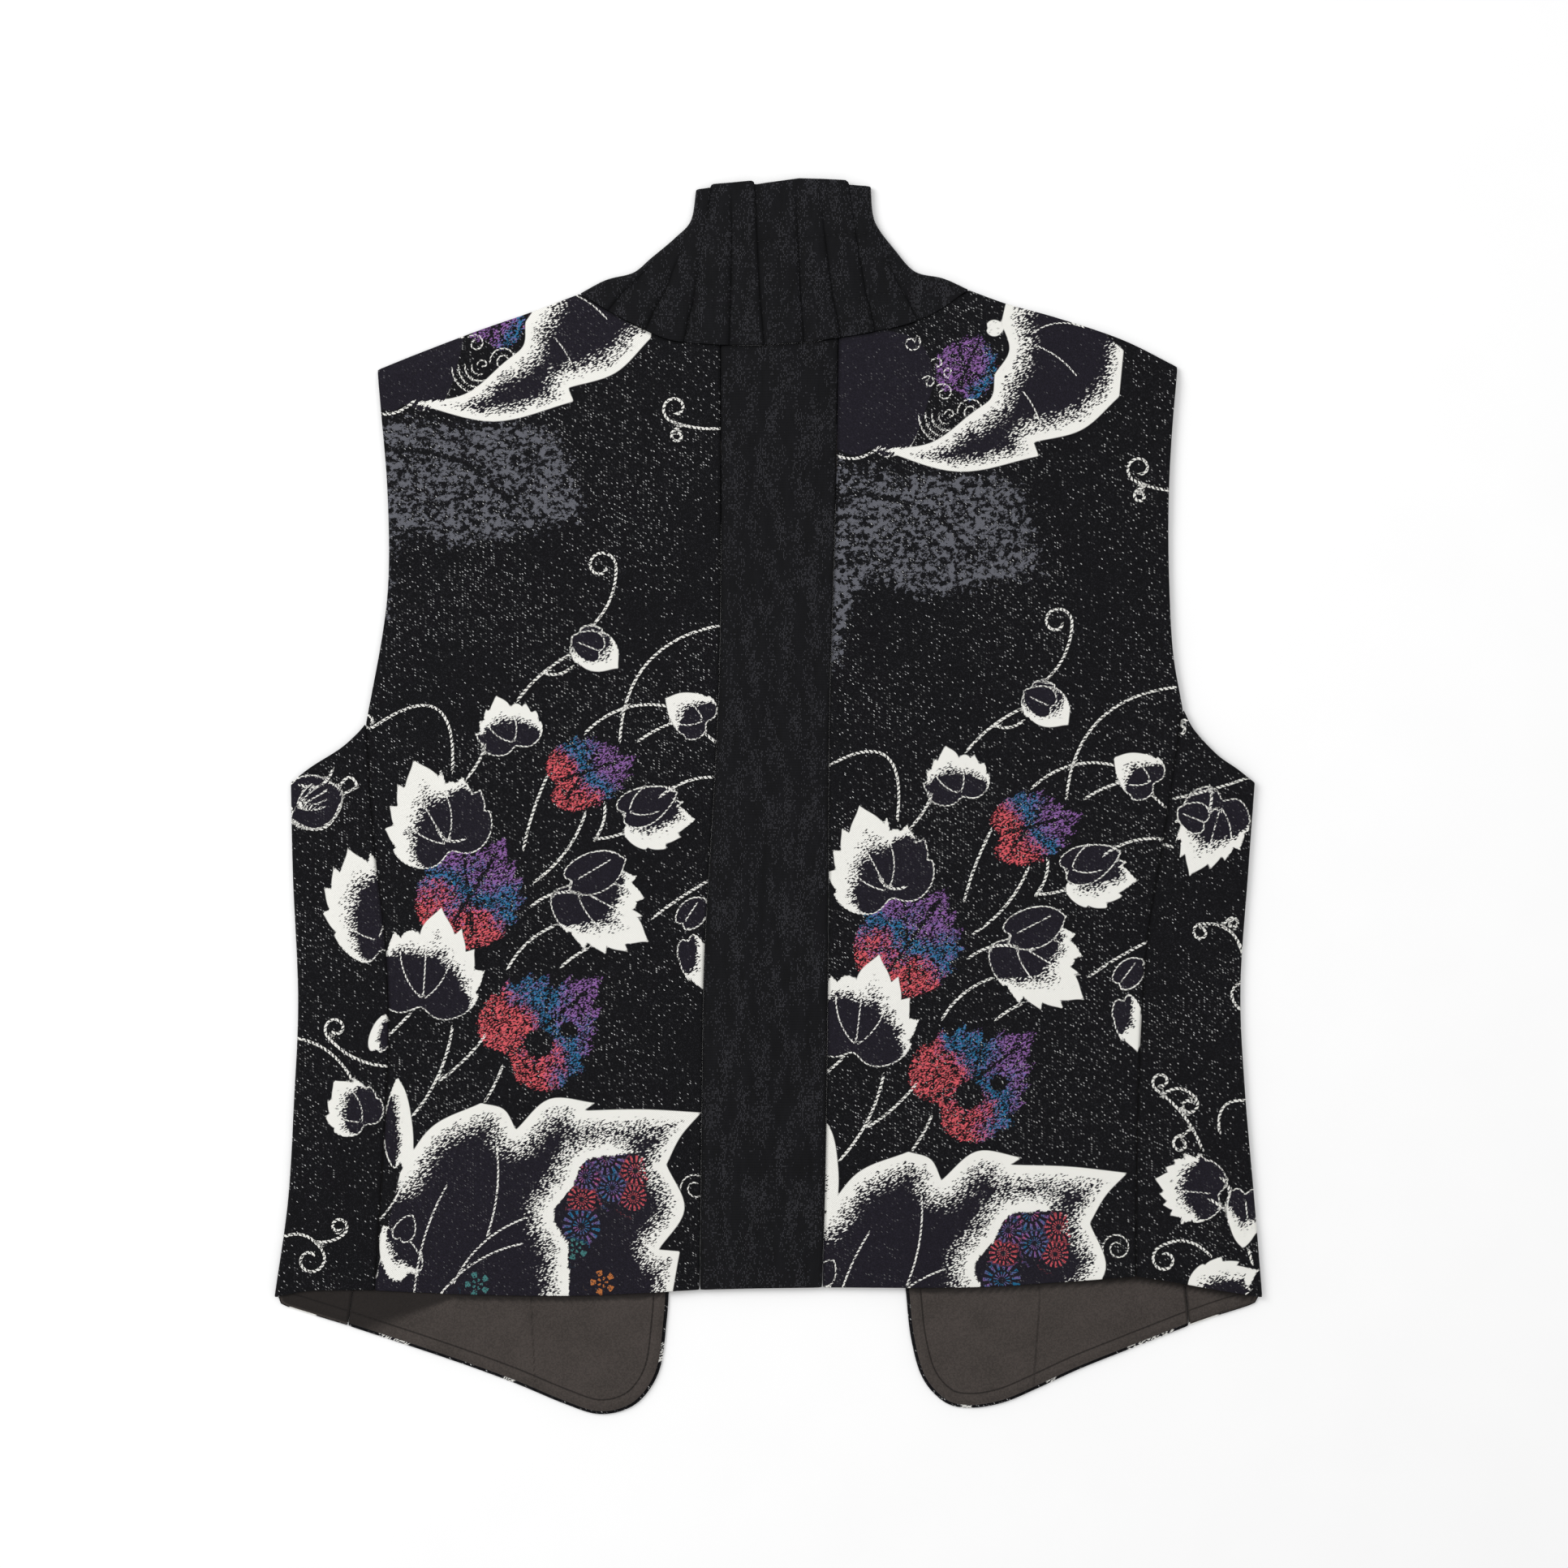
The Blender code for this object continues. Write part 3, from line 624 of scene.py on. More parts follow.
def distance_to(points, polyline):
    """Each point's distance from a polyline, its side as 1 or -1, and how far along its nearest place is."""
    start, way = polyline[:-1], np.diff(polyline, axis=0)
    offset = points[:, None, :] - start
    share = np.clip((offset * way).sum(-1) / np.maximum((way**2).sum(-1), 1e-9), 0, 1)
    gap = offset - share[..., None] * way
    far = (gap**2).sum(-1)
    nearest = far.argmin(-1)
    rows = np.arange(len(points))
    side = way[nearest, 0] * offset[rows, nearest, 1] - way[nearest, 1] * offset[rows, nearest, 0]
    spans = np.linalg.norm(way, axis=1)
    run = (np.cumsum(spans) - spans)[nearest] + share[rows, nearest] * spans[nearest]
    return np.sqrt(far[rows, nearest]), np.where(side < 0, -1.0, 1.0), run


def far_from(grid, polyline):
    """The distance of a grid's points from a polyline, worked out a few thousand at a time."""
    flat = grid.reshape(-1, 2)
    parts = [distance_to(flat[i : i + 8000], polyline)[0] for i in range(0, len(flat), 8000)]
    return np.concatenate(parts).reshape(grid.shape[:-1])


def eased(share):
    share = np.clip(share, 0, 1)
    return share * share * (3 - 2 * share)


def folds_height(grid, folds):
    lift = np.zeros(grid.shape[:-1])
    for fold in folds:
        ridge = np.array([(fold.x1, fold.y1), (fold.x2, fold.y2)], float)
        lift += fold.height * np.exp(-((far_from(grid, ridge) / fold.width) ** 2))
    return lift


def ripple(grid):
    """A faint unevenness of cloth that was pressed by hand."""
    x, y = grid[..., 0], grid[..., 1]
    waves = (
        (0.061, 0.023, 0.4), (-0.031, 0.078, 2.1), (0.113, -0.067, 1.2), (0.019, 0.127, 4.4),
        (0.171, 0.041, 3.3),
    )
    return sum(0.05 * np.sin(a * x + b * y + c + 1.3 * np.sin(0.021 * (x - y) + c)) for a, b, c in waves)


def back_height(grid):
    """The height of the middle of the back's wall."""
    lift = folds_height(grid, LARGE_FOLDS) + folds_height(grid, SMALL_FOLDS) + ripple(grid)
    for side in ("left", "right"):
        lift *= eased(far_from(grid, line("side_" + side)) / FOLD_CALM)
    near = np.minimum(*(far_from(grid, line("shoulder_" + side)) for side in ("left", "right")))
    return SHOULDER_MID + (BACK_MID - SHOULDER_MID + lift) * eased(near / SHOULDER_RUN)


def seam_dip(grid, names, pucker):
    """How far cloth dips towards the seams and edges with these names, with small uneven puckers."""
    dip = np.zeros(grid.shape[:-1])
    run = grid[..., 1] + 0.35 * grid[..., 0]
    for name in names:
        near = far_from(grid, line(name))
        dip -= SEAM_DEPTH * np.exp(-((near / SEAM_WIDTH) ** 2))
        wave = np.sin(0.46 * run + 1.7 * np.sin(0.083 * run)) * np.sin(0.171 * run + 0.8)
        dip += pucker * wave * np.exp(-near / 5) * eased(near / 2)
    return dip


def with_height(grid, height):
    height = np.broadcast_to(height, grid.shape[:2])
    return np.concatenate([grid, height[..., None]], axis=2)


def folded_edge(edge, inner):
    """The half turn of a wall at a folded edge, from the back down to the front: a column for each step."""
    way = unit(inner - edge)
    centre = edge + (FOLD_RADIUS + RIM) * way
    columns = []
    for angle in np.linspace(0, math.pi, TURN_STEPS + 1):
        place = centre - FOLD_RADIUS * math.sin(angle) * way
        height = (BACK_MID + FRONT_MID) / 2 + FOLD_RADIUS * math.cos(angle)
        columns.append(np.column_stack([place, np.full(len(place), height)]))
    return np.stack(columns, axis=1)


def thinned(grid):
    """The grid without a few rows and columns, so that each count of steps is a multiple of UNDER_STEP."""
    for axis in (0, 1):
        steps = grid.shape[axis] - 1
        kept = np.linspace(0, steps, UNDER_STEP * (steps // UNDER_STEP) + 1)
        grid = np.take(grid, np.round(kept).astype(int), axis=axis)
    return grid


# Walls of cloth


def unit(vectors):
    return vectors / np.maximum(np.linalg.norm(vectors, axis=-1, keepdims=True), 1e-12)


def placed(name, data):
    """A new object with this data, in the scene."""
    made = bpy.data.objects.new(name, data)
    bpy.context.scene.collection.objects.link(made)
    return made


def along_loop(points):
    """The direction of a closed loop at each of its points."""
    return unit(np.roll(points, -1, axis=0) - np.roll(points, 1, axis=0))


def wall_mesh(name, grid, wall, materials, fields, cloth=None):
    """A cloth wall round a grid of points on its middle, with rounded edges and one plainer side.

    cloth holds each point's place on the flat cloth, for the pattern's fields and the map of the bake.
    """
    index = np.arange(grid.shape[0] * grid.shape[1]).reshape(grid.shape[:2])
    loop = np.concatenate([index[0], index[1:, -1], index[-1, -2::-1], index[-2:0:-1, 0]])
    middle = grid.reshape(-1, 3)
    flat = (grid[..., :2] if cloth is None else cloth).reshape(-1, 2)
    normal = unit(np.cross(np.gradient(grid, axis=1), np.gradient(grid, axis=0))).reshape(-1, 3)
    outward = unit(np.cross(along_loop(middle[loop]), normal[loop]))
    flat_way = along_loop(flat[loop])
    flat_out = np.column_stack([flat_way[:, 1], -flat_way[:, 0]])

    kept = plainer_points(index)
    angles = [math.radians(degrees) for degrees in RIM_ANGLES]
    parts = [middle + normal * wall / 2]
    for angle in angles:
        parts.append(middle[loop] + wall / 2 * (math.cos(angle) * outward + math.sin(angle) * normal[loop]))
    parts.append((middle - normal * wall / 2)[kept])
    sources = np.concatenate([index.ravel()] + [loop] * len(angles) + [kept])
    plainer_at = np.full(index.size, -1)
    plainer_at[kept] = len(sources) - len(kept) + np.arange(len(kept))

    quads = np.stack([index[:-1, :-1], index[:-1, 1:], index[1:, 1:], index[1:, :-1]], axis=-1).reshape(-1, 4)
    faces = quads.tolist()
    map_points = [flat[quads].reshape(-1, 2)]
    rounds = [index.size + k * len(loop) + np.arange(len(loop)) for k in range(len(angles))]
    rings = [loop, *rounds, plainer_at[loop]]
    turned = (0, *(math.pi / 2 - angle for angle in angles), math.pi)
    ring_flats = [flat[loop] + flat_out * wall / 2 * angle for angle in turned]
    for high, low, high_flat, low_flat in zip(rings, rings[1:], ring_flats, ring_flats[1:]):
        faces += np.stack([high, low, np.roll(low, -1), np.roll(high, -1)], axis=1).tolist()
        corners = [high_flat, low_flat, np.roll(low_flat, -1, axis=0), np.roll(high_flat, -1, axis=0)]
        map_points.append(np.stack(corners, axis=1).reshape(-1, 2))
    cells = list(plainer_cells(index))
    slots = [0] * len(faces) + [len(materials) - 1] * len(cells)
    faces += [plainer_at[cell].tolist() for cell in cells]
    map_points.append(beside(flat[np.concatenate(cells)], flat))

    mesh = bpy.data.meshes.new(name)
    mesh.from_pydata((np.vstack(parts) * MM).tolist(), [], faces)
    for each in materials:
        mesh.materials.append(each)
    mesh.polygons.foreach_set("material_index", slots)
    mesh.shade_smooth()
    for field, values in fields.items():
        attribute = mesh.attributes.new(field, "FLOAT_VECTOR", "POINT")
        attribute.data.foreach_set("vector", values.reshape(-1, 3)[sources].astype(np.float32).ravel())
    bake_map(mesh, np.vstack(map_points))
    return placed(name, mesh)


def plainer_points(index):
    """Indices of the points that a wall's plainer side has: all of the rim, and every few inside."""
    kept = np.zeros(index.shape, bool)
    kept[::UNDER_STEP, ::UNDER_STEP] = True
    kept[[0, -1], :] = True
    kept[:, [0, -1]] = True
    return index[kept]


def plainer_cells(index):
    """The cells of a wall's plainer side, clockwise, with each fine point that they have on the rim."""
    rows, columns = index.shape
    for r in range(0, rows - 1, UNDER_STEP):
        for c in range(0, columns - 1, UNDER_STEP):
            last_r, last_c = r + UNDER_STEP, c + UNDER_STEP
            left = index[r : last_r + 1, c] if c == 0 else index[[r, last_r], c]
            top = index[last_r, c : last_c + 1] if last_r == rows - 1 else index[last_r, [c, last_c]]
            right = index[r : last_r + 1, last_c] if last_c == columns - 1 else index[[r, last_r], last_c]
            bottom = index[r, c : last_c + 1] if r == 0 else index[r, [c, last_c]]
            yield np.concatenate([left[:-1], top[:-1], right[:0:-1], bottom[:0:-1]])


def beside(places, flat):
    """The plainer side's part of the bake map: a third of the size, beside the finer side's."""
    low, high = flat.min(0), flat.max(0)
    return (places - low) / 3 + (high[0] + MAP_GAP, low[1])


def bake_map(mesh, places):
    """Lays the cloth's places out in the mesh's map, within its margins."""
    low = places.min(0)
    side = (places.max(0) - low).max()
    layer = mesh.uv_layers.new(name="OFBake")
    uv = MAP_MARGIN + (1 - 2 * MAP_MARGIN) * (places - low) / side
    layer.uv.foreach_set("vector", uv.astype(np.float32).ravel())


def area_of(grid):
    """The area of a grid's middle surface in square metres."""
    across, up = np.diff(grid, axis=1)[:-1], np.diff(grid, axis=0)[:, :-1]
    return float(np.linalg.norm(np.cross(across, up), axis=-1).sum()) * MM * MM


def lay_sheet(name, node, cloth, cut, grid, fields, places=None, other_side=None):
    """Makes a sheet of cloth, attaches it to the body and hides the solid node that it stands for.

    places holds each point's place on the flat cloth, and other_side the cloth of its plainer side, where
    that is another one.
    """
    materials = [material(each) for each in (cloth, other_side) if each]
    wall = LINING if cloth == "lining_cloth" else CLOTH
    piece = wall_mesh(name, grid, wall, materials, fields, places)
    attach(piece, BODY)
    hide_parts(node)
    flat = (cut[0] * MM, cut[1] * MM)
    min(area_of(grid), flat[0] * flat[1])


# The woven pattern, as fields over the cloth


def leaf_outline(leaf):
    """A leaf's outline: an egg with a notch at the stem, a short tip, pointed scallops and perhaps a cleft.

    It is as long and as wide as the leaf says, its points included.
    """
    angle = np.linspace(-math.pi, math.pi, 181)[:-1]
    from_tip = np.abs(angle)
    radius = 1 / np.hypot(np.cos(angle), np.sin(angle) / (1 - 0.16 * np.cos(angle)))
    radius *= 1 + 0.12 * np.exp(-from_tip / 0.16) - 0.26 * np.exp(-(((from_tip - math.pi) / 0.3) ** 2))
    if leaf.teeth:
        tooth = 1 - (from_tip / 1.8 * leaf.teeth) % 1
        scallop = 0.2 * (tooth**0.6 - 0.62) + 0.06 * np.exp((tooth - 1) / 0.12)
        radius *= 1 + np.where(from_tip < 1.8, scallop, 0)
    if leaf.cleft:
        radius *= 1 - 0.3 * np.exp(-np.abs(angle - math.radians(leaf.cleft)) / 0.17)
    radius *= 1 + 0.04 * np.sin(3 * angle + leaf.x)
    outline = radius[:, None] * np.column_stack([np.cos(angle), np.sin(angle)])
    low, high = outline.min(0), outline.max(0)
    outline = (outline - (low + high) / 2) * (leaf.length, leaf.width) / (high - low)
    return outline @ leaf_axes(leaf.turn) + (leaf.x, leaf.y)


def leaf_axes(degrees):
    """The directions along and across a leaf that is turned so far."""
    turn = math.radians(degrees)
    return np.array([[math.cos(turn), math.sin(turn)], [-math.sin(turn), math.cos(turn)]])


def spiral(curl):
    """The points of a small tendril that winds outwards."""
    share = np.linspace(0, 1, 22)
    angle = math.radians(curl.start) + math.tau * curl.turns * share
    radius = curl.radius * (np.ones_like(share) if curl.turns < 0.5 else 0.3 + 0.7 * share)
    return np.column_stack([curl.x + radius * np.cos(angle), curl.y + radius * np.sin(angle)])


def tendril(stem):
    """The points of a stem and of its curl."""
    start, end = np.array(stem[:2], float), np.array(stem[2:4], float)
    way = end - start
    normal = np.array([-way[1], way[0]])
    share = np.linspace(0, 1, 17)[:, None]
    points = start + share * way + 4 * share * (1 - share) * stem.bow * normal
    if not stem.curl:
        return points
    heading = math.atan2(*(way - 4 * stem.bow * normal)[::-1])
    share = np.linspace(0, 1, 25)[1:]
    angle = heading + math.copysign(CURL_TURNS * math.tau, stem.curl) * share
    step = abs(stem.curl) * (1 - 0.6 * share) * CURL_TURNS * math.tau / len(share)
    steps = step[:, None] * np.column_stack([np.cos(angle), np.sin(angle)])
    return np.vstack([points, end + np.cumsum(steps, axis=0)])


def corner_arcs(corners):
    """The arcs of a great leaf or its window, each with the depth of its pale rim."""
    places = np.array([corner[:2] for corner in corners], float)
    x, y = places.T
    outward = -1 if (x * np.roll(y, -1) - np.roll(x, -1) * y).sum() > 0 else 1
    arcs = []
    for corner, start, end in zip(corners, places, places[1:]):
        way = end - start
        middle = (start + end) / 2 + outward * corner.bulge * np.array([-way[1], way[0]])
        arcs.append((corner.reach, smooth([start, middle, end], 16)))
    return arcs


def fading(share):
    """The density of pale yarn: full where the share is 1, and thinning out towards 0."""
    return 1.06 * np.clip(1.18 * share, 0, 1) ** 1.35


def rim_pale(points, arcs):
    """The density of pale yarn along arcs, each with its own depth."""
    rims = [fading(1 - distance_to(points, curve)[0] / reach) for reach, curve in arcs if reach]
    return np.max(rims, axis=0)


def leaf_veins(leaf):
    """Curved veins from a leaf's stem towards its rim."""
    stem = math.radians(leaf.turn + 180)
    axis = math.radians(leaf.turn)
    start = np.array([leaf.x, leaf.y]) + 0.34 * leaf.length * np.array([math.cos(stem), math.sin(stem)])
    veins = []
    for k in range(leaf.veins):
        spread = 0.0 if leaf.veins == 1 else (k / (leaf.veins - 1) - 0.5)
        bend = axis + 1.9 * spread + 0.15
        reach = leaf.length * (0.6 - 0.25 * abs(spread))
        t = np.linspace(0.06, 1, 9)[:, None]
        way = bend - 0.9 * spread * t
        veins.append(start + reach * t * np.hstack([np.cos(way), np.sin(way)]))
    return veins


def inside(points, outline):
    """Whether each point lies inside a closed outline."""
    x, y = points[:, :1], points[:, 1:]
    x1, y1 = outline.T
    x2, y2 = np.roll(outline, -1, axis=0).T
    rise = np.where(y2 == y1, 1e-9, y2 - y1)
    crossing = ((y1 > y) != (y2 > y)) & (x < (x2 - x1) * (y - y1) / rise + x1)
    return crossing.sum(1) % 2 == 1


def near_outline(points, outline, reach):
    """Indices of the points near or inside an outline, and their signed distances, negative inside."""
    low, high = outline.min(0) - reach, outline.max(0) + reach
    chosen = np.flatnonzero(((points > low) & (points < high)).all(1))
    distance = np.empty(len(chosen))
    closed = np.vstack([outline, outline[:1]])
    for i in range(0, len(chosen), 6000):
        part = points[chosen[i : i + 6000]]
        far = distance_to(part, closed)[0]
        distance[i : i + 6000] = np.where(inside(part, outline), -far, far)
    return chosen, distance


class Fields:
    """The woven pattern over a sheet's points: distances to motifs in millimetres, and densities of yarn."""

    def __init__(self, points):
        self.points = points
        count = len(points)
        self.leaf = np.full(count, FAR)
        self.pale = np.zeros(count)
        self.grey = np.zeros(count)
        self.side = np.full(count, FAR)
        self.reach = np.full(count, FAR)
        # painted shade, 0 to 1: in seam and pleat grooves, and the back hem's shadow on the linings
        self.crease = np.zeros(count)
        self.run = np.zeros(count)
        self.colour = np.full(count, FAR)
        self.dye = np.zeros(count)
        self.hue = np.zeros(count)
        self.flower = np.tile((9.0, 9.0, 0.0), (count, 1))

    def add_line(self, polyline, half_width):
        """A woven line: its signed and plain distances, as if it had the width of a stem."""
        scale = STEM_HALF / half_width
        low, high = polyline.min(0) - FAR, polyline.max(0) + FAR
        chosen = np.flatnonzero(((self.points > low) & (self.points < high)).all(1))
        if not len(chosen):
            return
        far, way, run = distance_to(self.points[chosen], polyline)
        nearer = far * scale < self.reach[chosen]
        chosen, far, way = chosen[nearer], far[nearer] * scale, way[nearer]
        self.reach[chosen] = far
        self.side[chosen] = far * way
        self.run[chosen] = run[nearer]

    def add_shaded(self, outline, pale_at):
        """A leaf of charcoal ground whose pale yarn thins out from its rim. pale_at gives the density."""
        chosen, distance = near_outline(self.points, outline, BESIDE)
        if not len(chosen):
            return
        within = distance < 0
        pale, before = pale_at(self.points[chosen], distance), self.pale[chosen]
        pale = np.where(within | (self.leaf[chosen] >= 0) & (pale > before), pale, before)
        self.pale[chosen] = pale
        self.leaf[chosen] = np.minimum(self.leaf[chosen], distance)
        self.reach[chosen[within]] = FAR
        self.side[chosen[within]] = FAR

    def add_leaf(self, leaf):
        outline = leaf_outline(leaf)
        axes, size = leaf_axes(leaf.turn).T, (leaf.length, leaf.width)
        pale = math.radians(leaf.pale)
        toward = unit(np.array([math.cos(pale), math.sin(pale)]) @ axes / size)

        def facing(points):
            """1 at the leaf's pale side, 0 across its middle and -1 at its dark side."""
            return 2 * ((points - (leaf.x, leaf.y)) @ axes / size) @ toward

        def pale_at(points, distance):
            weight = eased((facing(points) + 0.5) / 1.1)
            depth = np.maximum(1.4 * leaf.reach * weight, 0.01)
            return fading(1 + np.minimum(distance, 0) / depth) * (weight > 0.02)

        self.add_shaded(outline, pale_at)
        away = facing(outline)
        start = int(np.argmax(away))
        rim = np.roll(np.hstack([outline, away[:, None]]), -start, axis=0)
        bare = rim[rim[:, 2] < 0.35] if leaf.reach else np.vstack([rim, rim[:1]])
        if len(bare) > 4:
            self.add_line(bare[:, :2], VEIN_HALF)
        for vein in leaf_veins(leaf):
            self.add_line(vein, VEIN_HALF)

    def add_great_leaf(self, great):
        arcs = corner_arcs((*great.corners, great.corners[0]))

        def pale_at(points, _):
            pale = rim_pale(points, arcs)
            if great.window:
                edges = corner_arcs(great.window)
                window = joined(*(curve for _, curve in edges))
                behind = np.vstack([window, window[-1:] + WINDOW_WIDTH, window[:1] + WINDOW_WIDTH])
                pale = np.where(inside(points, behind), pale, np.maximum(pale, rim_pale(points, edges)))
            return pale

        self.add_shaded(joined(*(curve for _, curve in arcs)), pale_at)

    def add_coloured(self, leaf):
        outline = leaf_outline(leaf)
        chosen, distance = near_outline(self.points, outline, BESIDE)
        nearer = distance < self.colour[chosen]
        chosen, distance = chosen[nearer], distance[nearer]
        place = self.points[chosen] - (leaf.x, leaf.y)
        warm = math.radians(leaf.warm)
        share = -(place @ (math.cos(warm), math.sin(warm))) / leaf.width
        swirl = 0.1 * np.sin(0.16 * place[:, 0] + 1.1) * np.cos(0.19 * place[:, 1])
        along, across = (place @ leaf_axes(leaf.turn).T).T
        vein = np.minimum(np.abs(across), np.abs(across - 0.8 * (along + 0.1 * leaf.length)))
        self.colour[chosen] = distance
        self.hue[chosen] = np.clip(0.5 + share + swirl + leaf.cool, 0, 1)
        self.dye[chosen] = 0.63 - 0.4 * np.exp(-((vein / 0.9) ** 2)) * (np.abs(along) < 0.34 * leaf.length)

    def add_ring(self, ring):
        """A dark round gap in a coloured leaf."""
        far = np.hypot(*(self.points - (ring.x, ring.y)).T)
        self.dye *= np.where(far < ring.radius + 4, eased((far - ring.radius + 1.2) / 2.4), 1)

    def add_patch(self, outline, gap, density, soft):
        """A mottled patch that fades out at its edge, with a bare line through it."""
        chosen, distance = near_outline(self.points, outline, 1.0)
        beside = distance_to(self.points[chosen], gap)[0]
        self.grey[chosen] = density * eased(-distance / soft) * (1 - 0.55 * np.exp(-((beside / 1.1) ** 2)))

    def add_flower(self, flower):
        place = (self.points - (flower.x, flower.y)) / flower.radius
        size = np.hypot(*place.T)
        nearer = size < np.hypot(self.flower[:, 0], self.flower[:, 1])
        nearer &= size < 1.6
        self.flower[nearer] = np.column_stack([place, np.full(len(place), flower.hue)])[nearer]

    def packed(self):
        return {
            "leaf": np.column_stack([self.leaf, self.pale, self.grey]),
            "stem": np.column_stack([self.side, self.reach, self.crease]),
            "bloom": np.column_stack([self.colour, self.dye, self.hue]),
            "flower": self.flower,
            "cord": np.repeat(self.run[:, None], 3, axis=1),
        }


def vine_fields(cloth, repeat, hem_leaf=True):
    """The vine of a panel, whose cloth lies on it at an offset and an angle."""
    x, y, turn = repeat
    fields = Fields((cloth.reshape(-1, 2) - (x, y) - VINE_PIVOT) @ leaf_axes(turn).T + VINE_PIVOT)
    fields.add_patch(smooth(GREY_PATCH, 80), smooth(GREY_GAP, 20), 0.57, 15)
    fields.add_shaded(smooth(CLOUD, 60), lambda points, distance: np.zeros(len(points)))
    for coloured in (SHOULDER_FLOWER, *VINE_COLOURED):
        fields.add_coloured(coloured)
    fields.add_great_leaf(SHOULDER_LEAF)
    for ring in VINE_HOLES:
        fields.add_ring(ring)
    fields.add_shaded(leaf_outline(SHOULDER_KNOB), lambda points, distance: np.ones(len(points)))
    for leaf in VINE_LEAVES:
        fields.add_leaf(leaf)
    for stem in VINE_STEMS:
        fields.add_line(tendril(stem), STEM_HALF)
    for vein in VINE_VEINS:
        fields.add_line(tendril(vein), VEIN_HALF)
    for curl in VINE_CURLS:
        fields.add_line(spiral(curl), VEIN_HALF)
    if hem_leaf:
        fields.add_great_leaf(HEM_LEAF)
        for leaf in SWIRL_LEAVES:
            fields.add_leaf(leaf)
        for vein in HEM_VEINS:
            fields.add_line(tendril(vein), HEM_VEIN_HALF)
        for flower in HEM_FLOWERS:
            fields.add_flower(flower)
    return fields


def sprig_fields(cloth, leaves, stems):
    fields = Fields(cloth.reshape(-1, 2))
    for leaf in leaves:
        fields.add_leaf(leaf)
    for stem in stems:
        fields.add_line(tendril(stem), STEM_HALF)
    return fields


# Materials


class Value:
    """A number in a shader's tree. Arithmetic on it adds Math nodes."""

    def __init__(self, shade, socket):
        self.shade = shade
        self.socket = socket

    def made(self, operation, *others, clamp=False):
        return self.shade.math(operation, self, *others, clamp=clamp)

    def __add__(self, other):
        return self.made("ADD", other)

    def __sub__(self, other):
        return self.made("SUBTRACT", other)

    def __mul__(self, other):
        return self.made("MULTIPLY", other)

    def __truediv__(self, other):
        return self.made("DIVIDE", other)

    def __rsub__(self, other):
        return self.shade.math("SUBTRACT", other, self)

    def __lt__(self, other):
        return self.made("LESS_THAN", other)

    def __gt__(self, other):
        return self.made("GREATER_THAN", other)

    def __abs__(self):
        return self.made("ABSOLUTE")

    __radd__ = __add__
    __rmul__ = __mul__

    def least(self, other):
        return self.made("MINIMUM", other)

    def most(self, other):
        return self.made("MAXIMUM", other)

    def to_power(self, other):
        return self.made("POWER", other)

    def part(self):
        return self.made("FRACT")

    def sine(self):
        return self.made("SINE")

    def between(self, low, high):
        """0 below low, 1 above high, and straight between."""
        return ((self - low) / (high - low)).made("ADD", 0, clamp=True)


